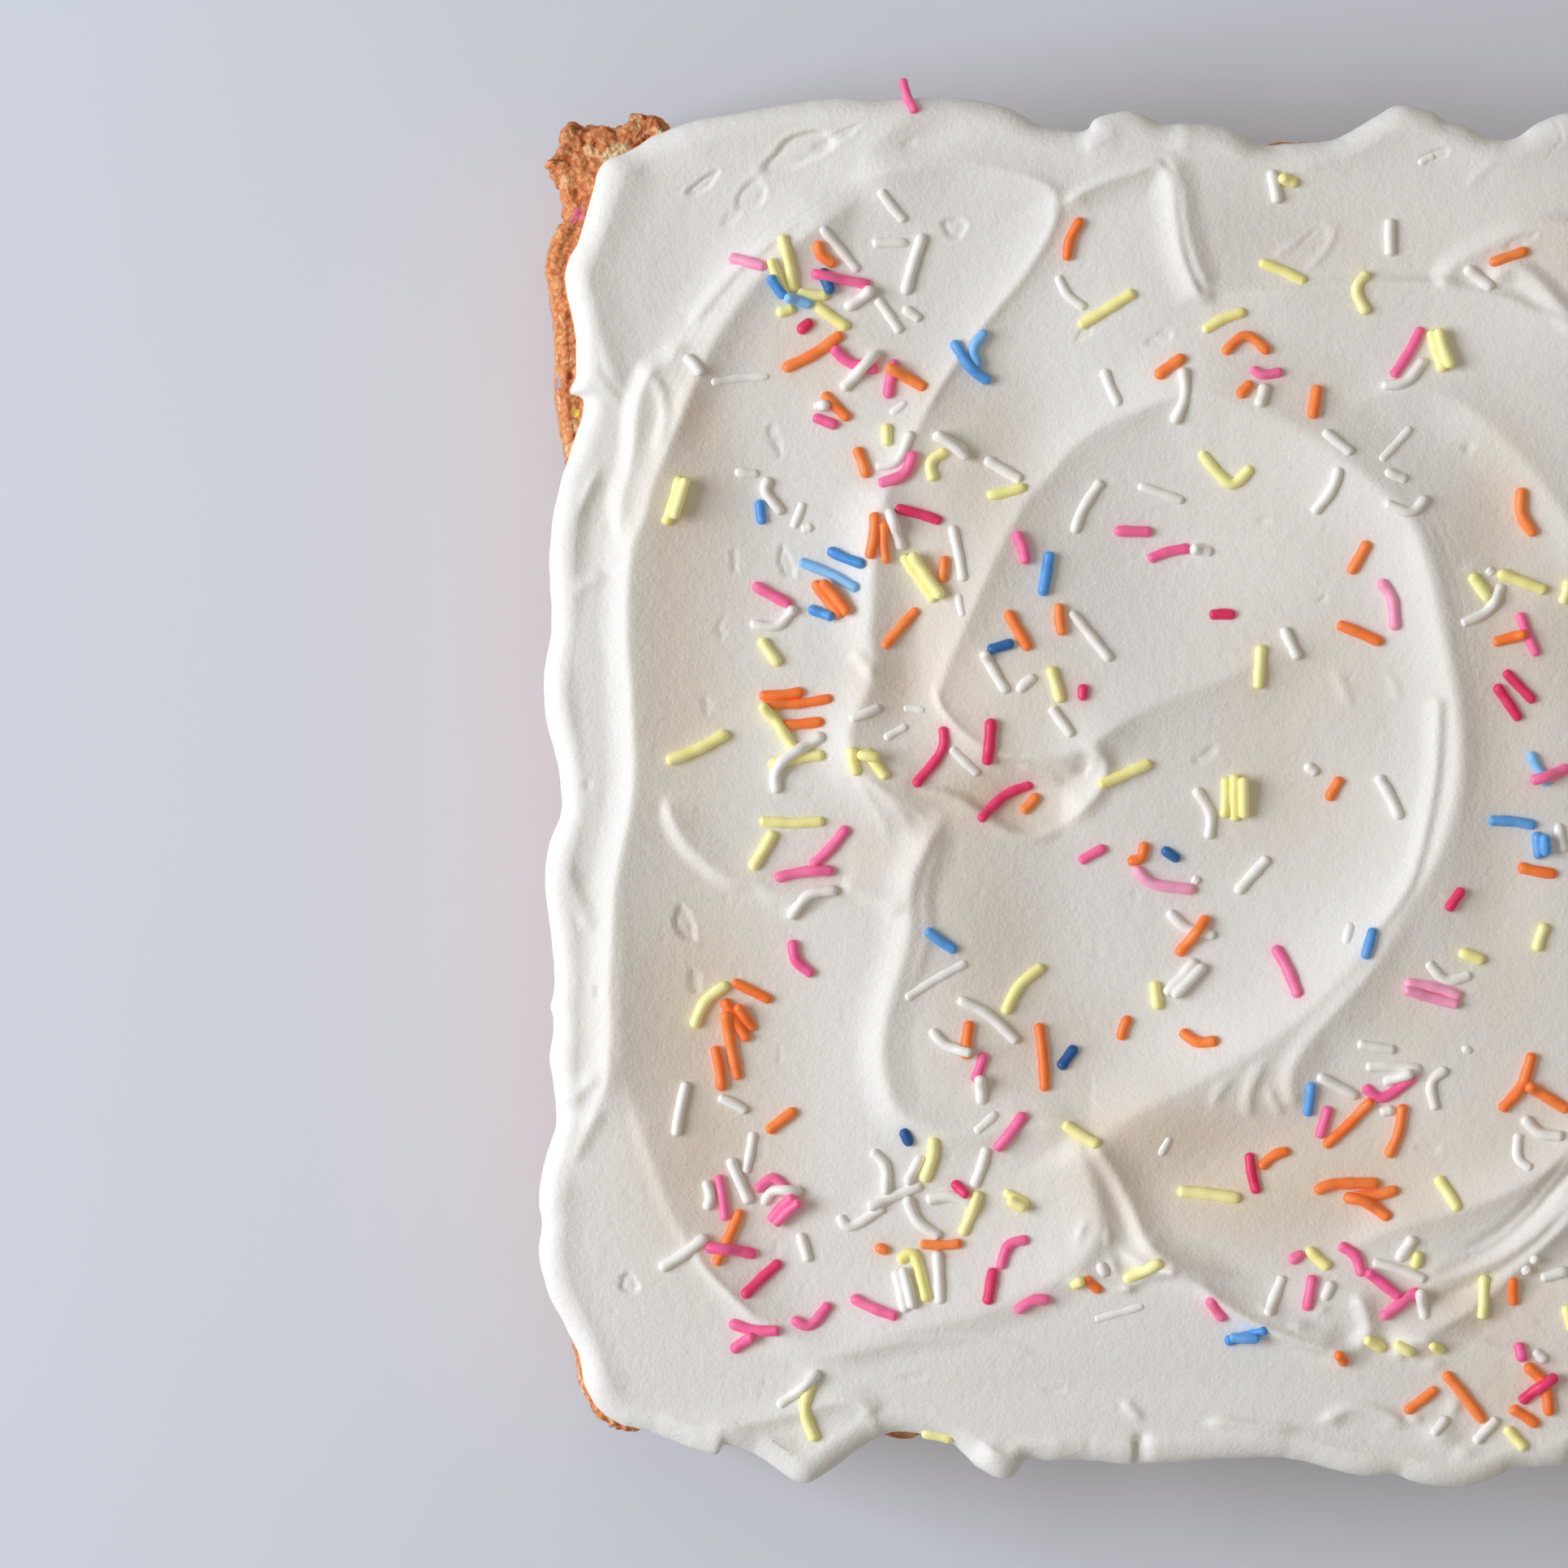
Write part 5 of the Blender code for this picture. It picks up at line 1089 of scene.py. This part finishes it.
def frosting_material():
    made, tree, shader = material("frosting_whipped")
    where = tree.nodes.new("ShaderNodeTexCoord")
    broad = noise_node(tree, where, 26.0, 3.0)
    fine = noise_node(tree, where, 420.0, 5.0, 0.6)
    grain = noise_node(tree, where, 1500.0, 3.0, 0.6)
    base = ramp(tree, broad.outputs["Fac"], [(0.3, FROSTING_TONES[0]), (0.7, FROSTING_TONES[1])])
    # painted shade: the hollows are painted a warmer, yellower tone
    hollow_shade = tree.nodes.new("ShaderNodeVertexColor")
    hollow_shade.layer_name = "hollow_shade"
    painted_shade = mix_colour(tree, hollow_shade.outputs["Color"], base.outputs["Color"], FROSTING_HOLLOW_SHADE)
    # dye run out of the strands, with painted reflection of their colour on the frosting round them
    dye_and_bounce_layer = tree.nodes.new("ShaderNodeVertexColor")
    dye_and_bounce_layer.layer_name = "dye_and_bounce"
    dye_bounce_and_shade = mix_colour(tree, dye_and_bounce_layer.outputs["Alpha"], painted_shade, dye_and_bounce_layer.outputs["Color"])
    tree.links.new(dye_bounce_and_shade, shader.inputs["Base Color"])
    shader.inputs["Roughness"].default_value = 0.52
    shader.inputs["Specular IOR Level"].default_value = 0.32
    shader.inputs["Subsurface Weight"].default_value = 0.30
    shader.inputs["Subsurface Radius"].default_value = (1.0, 0.82, 0.60)
    shader.inputs["Subsurface Scale"].default_value = 0.0014
    normal = bump(tree, fine.outputs["Fac"], 0.55, 0.00032)
    normal = bump(tree, grain.outputs["Fac"], 0.75, 0.00014, normal)
    tree.links.new(normal, shader.inputs["Normal"])
    return made


def cell_node(tree, where, scale):
    made = tree.nodes.new("ShaderNodeTexVoronoi")
    made.inputs["Scale"].default_value = scale
    tree.links.new(where, made.inputs["Vector"])
    return made


def sponge_material():
    made, tree, shader = material("sponge_baked")
    where = tree.nodes.new("ShaderNodeTexCoord")
    patches = noise_node(tree, where, 70.0, 4.0, 0.55)
    speck = noise_node(tree, where, 700.0, 4.0, 0.65)
    bend = tree.nodes.new("ShaderNodeVectorMath")
    bend.operation = "MULTIPLY_ADD"
    tree.links.new(speck.outputs["Color"], bend.inputs[0])
    bend.inputs[1].default_value = (0.0008, 0.0008, 0.0008)
    tree.links.new(where.outputs["Object"], bend.inputs[2])
    lumps = cell_node(tree, bend.outputs["Vector"], 520.0)
    grains = cell_node(tree, bend.outputs["Vector"], 1080.0)
    # the crumb grains' own orange tone, with painted shade: each grain darkens to dark brown towards the gaps between
    # grains
    coarse = ramp(tree, lumps.outputs["Distance"], [(0.14, (1.0, 0.62, 0.33)), (0.34, (1.0, 0.45, 0.190)), (0.50, (0.86, 0.270, 0.086)), (0.64, (0.42, 0.098, 0.026))])
    small_grain_shade = ramp(tree, grains.outputs["Distance"], [(0.14, (1.0, 0.72, 0.42)), (0.36, (1.0, 0.48, 0.210)), (0.52, (0.80, 0.235, 0.070)), (0.68, (0.34, 0.076, 0.020))])
    crumb_colour_and_shade = mix_colour(tree, 0.58, coarse.outputs["Color"], small_grain_shade.outputs["Color"])
    # some cells are pale inside crumb, some browner crust
    pick = tree.nodes.new("ShaderNodeSeparateColor")
    tree.links.new(lumps.outputs["Color"], pick.inputs[0])
    pale = ramp(tree, pick.outputs[0], [(0.80, (0.0, 0.0, 0.0)), (0.90, (0.75, 0.75, 0.75))])
    crumb_colour_and_shade = mix_colour(tree, pale.outputs["Color"], crumb_colour_and_shade, (0.98, 0.78, 0.44))
    brown = ramp(tree, pick.outputs[1], [(0.55, (0.0, 0.0, 0.0)), (0.95, (0.5, 0.5, 0.5))])
    crumb_colour_and_shade = mix_colour(tree, brown.outputs["Color"], crumb_colour_and_shade, (0.80, 0.235, 0.070))
    # the side that lay against the pan is closer grained than the open crumb at the top, golden with browner patches
    height = tree.nodes.new("ShaderNodeSeparateXYZ")
    tree.links.new(where.outputs["Object"], height.inputs[0])
    side = ramp(tree, height.outputs[2], [(0.031, (0.52, 0.52, 0.52)), (0.0358, (0.0, 0.0, 0.0))])
    skin = ramp(tree, patches.outputs["Fac"], [(0.36, (0.74, 0.285, 0.100)), (0.50, (0.88, 0.405, 0.165)), (0.64, (0.95, 0.520, 0.245))])
    crumb_colour_and_shade = mix_colour(tree, side.outputs["Color"], crumb_colour_and_shade, skin.outputs["Color"])
    crust = ramp(tree, patches.outputs["Fac"], [(0.30, (0.86, 0.74, 0.66)), (0.48, (1.0, 1.0, 1.0)), (0.70, (1.0, 1.0, 1.0))])
    shaded = mix_colour(tree, 1.0, crumb_colour_and_shade, crust.outputs["Color"], "MULTIPLY")
    shade = tree.nodes.new("ShaderNodeVertexColor")
    shade.layer_name = "shade"
    shaded = mix_colour(tree, 0.30, shaded, mix_colour(tree, shade.outputs["Color"], (0.84, 0.25, 0.075), (1.0, 0.64, 0.34)))
    # painted shade: pores and creases in the crumb are coloured dark brown, where shade falls in them
    pore_shade = tree.nodes.new("ShaderNodeVertexColor")
    pore_shade.layer_name = "pore_shade"
    depth = ramp(tree, pore_shade.outputs["Color"], [(0.15, (0.0, 0.0, 0.0)), (0.95, (0.85, 0.85, 0.85))])
    shaded_pores = mix_colour(tree, depth.outputs["Color"], shaded, (0.50, 0.125, 0.034))
    # it is brownest along the foot
    baked = ramp(tree, height.outputs[2], [(0.0015, (0.60, 0.48, 0.38)), (0.0065, (0.80, 0.76, 0.72)), (0.016, (0.92, 0.91, 0.90)), (0.0345, (1.0, 1.0, 1.0))])
    shaded_pores = mix_colour(tree, 1.0, shaded_pores, baked.outputs["Color"], "MULTIPLY")
    fleck = tree.nodes.new("ShaderNodeVertexColor")
    fleck.layer_name = "fleck"
    spotted = mix_colour(tree, fleck.outputs["Alpha"], shaded_pores, fleck.outputs["Color"])
    tree.links.new(spotted, shader.inputs["Base Color"])
    shader.inputs["Roughness"].default_value = 0.85
    shader.inputs["Specular IOR Level"].default_value = 0.20
    inside = tree.nodes.new("ShaderNodeMath")
    inside.operation = "SUBTRACT"
    inside.inputs[0].default_value = 1.0
    tree.links.new(grains.outputs["Distance"], inside.inputs[1])
    normal = bump(tree, speck.outputs["Fac"], 0.6, 0.0004)
    normal = bump(tree, inside.outputs[0], 0.8, 0.0005, normal)
    tree.links.new(normal, shader.inputs["Normal"])
    return made


STRAND_COLOURS = {  # darker, lighter
    "pink": ((0.92, 0.110, 0.30), (0.98, 0.24, 0.44)), "pale_pink": ((0.95, 0.32, 0.52), (0.98, 0.48, 0.64)), "rose": ((0.72, 0.026, 0.10), (0.88, 0.075, 0.22)),
    "orange": ((0.97, 0.185, 0.032), (1.0, 0.31, 0.090)), "yellow": ((0.93, 0.86, 0.30), (0.98, 0.93, 0.48)), "blue": ((0.055, 0.26, 0.66), (0.17, 0.43, 0.82)),
    "dark_blue": ((0.018, 0.088, 0.28), (0.048, 0.18, 0.44)), "sky_blue": ((0.17, 0.46, 0.82), (0.34, 0.62, 0.92)), "white": ((0.895, 0.868, 0.808), (0.930, 0.906, 0.850)),
}


def strand_material(kind):
    made, tree, shader = material("strand_" + kind)
    where = tree.nodes.new("ShaderNodeTexCoord")
    mottle = noise_node(tree, where, 330.0, 3.0, 0.6)
    tone = tree.nodes.new("ShaderNodeVertexColor")
    tone.layer_name = "tone"
    dark, light = STRAND_COLOURS[kind]
    mottled = ramp(tree, mottle.outputs["Fac"], [(0.36, dark), (0.66, light)])
    own = mix_colour(tree, tone.outputs["Color"], dark, light)
    sugar = mix_colour(tree, 0.5, mottled.outputs["Color"], own)
    tree.links.new(sugar, shader.inputs["Base Color"])
    # the strands glow faintly in their own colour: painted light that lifts their shaded side
    tree.links.new(sugar, shader.inputs["Emission Color"])
    shader.inputs["Emission Strength"].default_value = 0.045 if kind == "white" else 0.085
    shader.inputs["Roughness"].default_value = 0.42
    shader.inputs["Specular IOR Level"].default_value = 0.38
    normal = bump(tree, mottle.outputs["Fac"], 0.35, 0.0002)
    tree.links.new(normal, shader.inputs["Normal"])
    return made


def plain_material(name, colour, roughness):
    made, tree, shader = material(name)
    where = tree.nodes.new("ShaderNodeTexCoord")
    cloud = noise_node(tree, where, 8.0, 2.0)
    tone = ramp(tree, cloud.outputs["Fac"], [(0.2, tuple(c * 0.985 for c in colour)), (0.8, colour)])
    tree.links.new(tone.outputs["Color"], shader.inputs["Base Color"])
    shader.inputs["Roughness"].default_value = roughness
    shader.inputs["Specular IOR Level"].default_value = 0.2
    return made


FROSTING_HOLLOW_SHADE = (0.872, 0.758, 0.612)  # painted shade: the warmer, yellower tone painted into the hollows where shade falls
FROSTING_TONES = ((0.895, 0.864, 0.808), (0.912, 0.885, 0.834))

# ---------------------------------------------------------------- scene
def area_light(name, at, towards, size, power, colour=(1, 1, 1)):
    data = bpy.data.lights.new(name, "AREA")
    data.shape = "RECTANGLE"
    data.size, data.size_y = size
    data.energy = power
    data.color = colour
    lamp = bpy.data.objects.new(name, data)
    bpy.context.scene.collection.objects.link(lamp)
    lamp.location = at
    lamp.rotation_euler = (Vector(towards) - Vector(at)).to_track_quat("-Z", "Y").to_euler()
    return lamp


def main():
    scene = bpy.context.scene
    frosting, grid, heights = make_frosting()
    mesh = frosting.data
    coordinates = np.zeros(len(mesh.vertices) * 3, np.float32)
    mesh.vertices.foreach_get("co", coordinates)
    polygons = [tuple(p.vertices) for p in mesh.polygons if len(p.vertices) == 4]
    laid = lay_strands(([tuple(v) for v in coordinates.reshape(-1, 3)], polygons))
    colour, strength = dye_and_bounce(grid, laid, grid.shape[0] * grid.shape[1])
    # this layer holds dye run out of the strands and painted reflection of their colour
    layer = mesh.color_attributes.new("dye_and_bounce", "FLOAT_COLOR", "POINT")
    rgba = np.zeros((len(mesh.vertices), 4), np.float32)
    rgba[:len(colour), :3] = colour
    rgba[:len(strength), 3] = strength
    layer.data.foreach_set("color", rgba.ravel())
    mesh.materials.append(frosting_material())
    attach(frosting, "root")
    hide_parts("frosting")

    sponge = make_sponge()
    sponge.data.materials.append(sponge_material())
    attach(sponge, "root")
    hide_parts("sponge")

    for kind, piece in make_sprinkles(laid).items():
        piece.data.materials.append(strand_material(kind))
        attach(piece, "root")

    floor = mesh_object("floor", np.array([(-3, -3, 0), (3, -3, 0), (3, 3, 0), (-3, 3, 0)], float), [np.array([[0, 1, 2, 3]])], False)
    floor.data.materials.append(plain_material("floor_pale", FLOOR_TONE, 0.6))

    world = bpy.data.worlds.new("studio")
    world.use_nodes = True
    world.node_tree.nodes["Background"].inputs["Color"].default_value = (*WORLD_TONE, 1)
    world.node_tree.nodes["Background"].inputs["Strength"].default_value = WORLD_POWER
    scene.world = world
    area_light("key", (-1.41, 0.07, 0.90), (-0.10, 0.0, 0.03), (0.9, 0.8), KEY_POWER, (0.95, 1.0, 1.11))
    area_light("top", (-0.1, 0.15, 1.9), (-0.05, 0.0, 0.0), (1.6, 1.6), TOP_POWER, (0.97, 0.985, 1.0))

    camera_data = bpy.data.cameras.new("camera")
    camera_data.lens, camera_data.sensor_width, camera_data.sensor_fit = LENS, SENSOR, "HORIZONTAL"
    camera_data.clip_start, camera_data.clip_end = 0.01, 20
    camera = bpy.data.objects.new("camera", camera_data)
    scene.collection.objects.link(camera)
    cx, cy = place(*VIEW_CENTRE)
    camera.location = (cx, cy, FROSTING_TOP + CAMERA_HEIGHT)
    camera.rotation_euler = (0, 0, 0)
    scene.camera = camera

    scene.view_settings.view_transform = "Standard"
    scene.view_settings.look = "None"
    scene.view_settings.exposure = 0.0
    scene.view_settings.gamma = 1.0


KEY_POWER, TOP_POWER, WORLD_POWER = 22.4, 2.0, 0.258
WORLD_TONE = (1.0, 0.90, 0.76)
FLOOR_TONE = (0.712, 0.755, 0.812)
main()
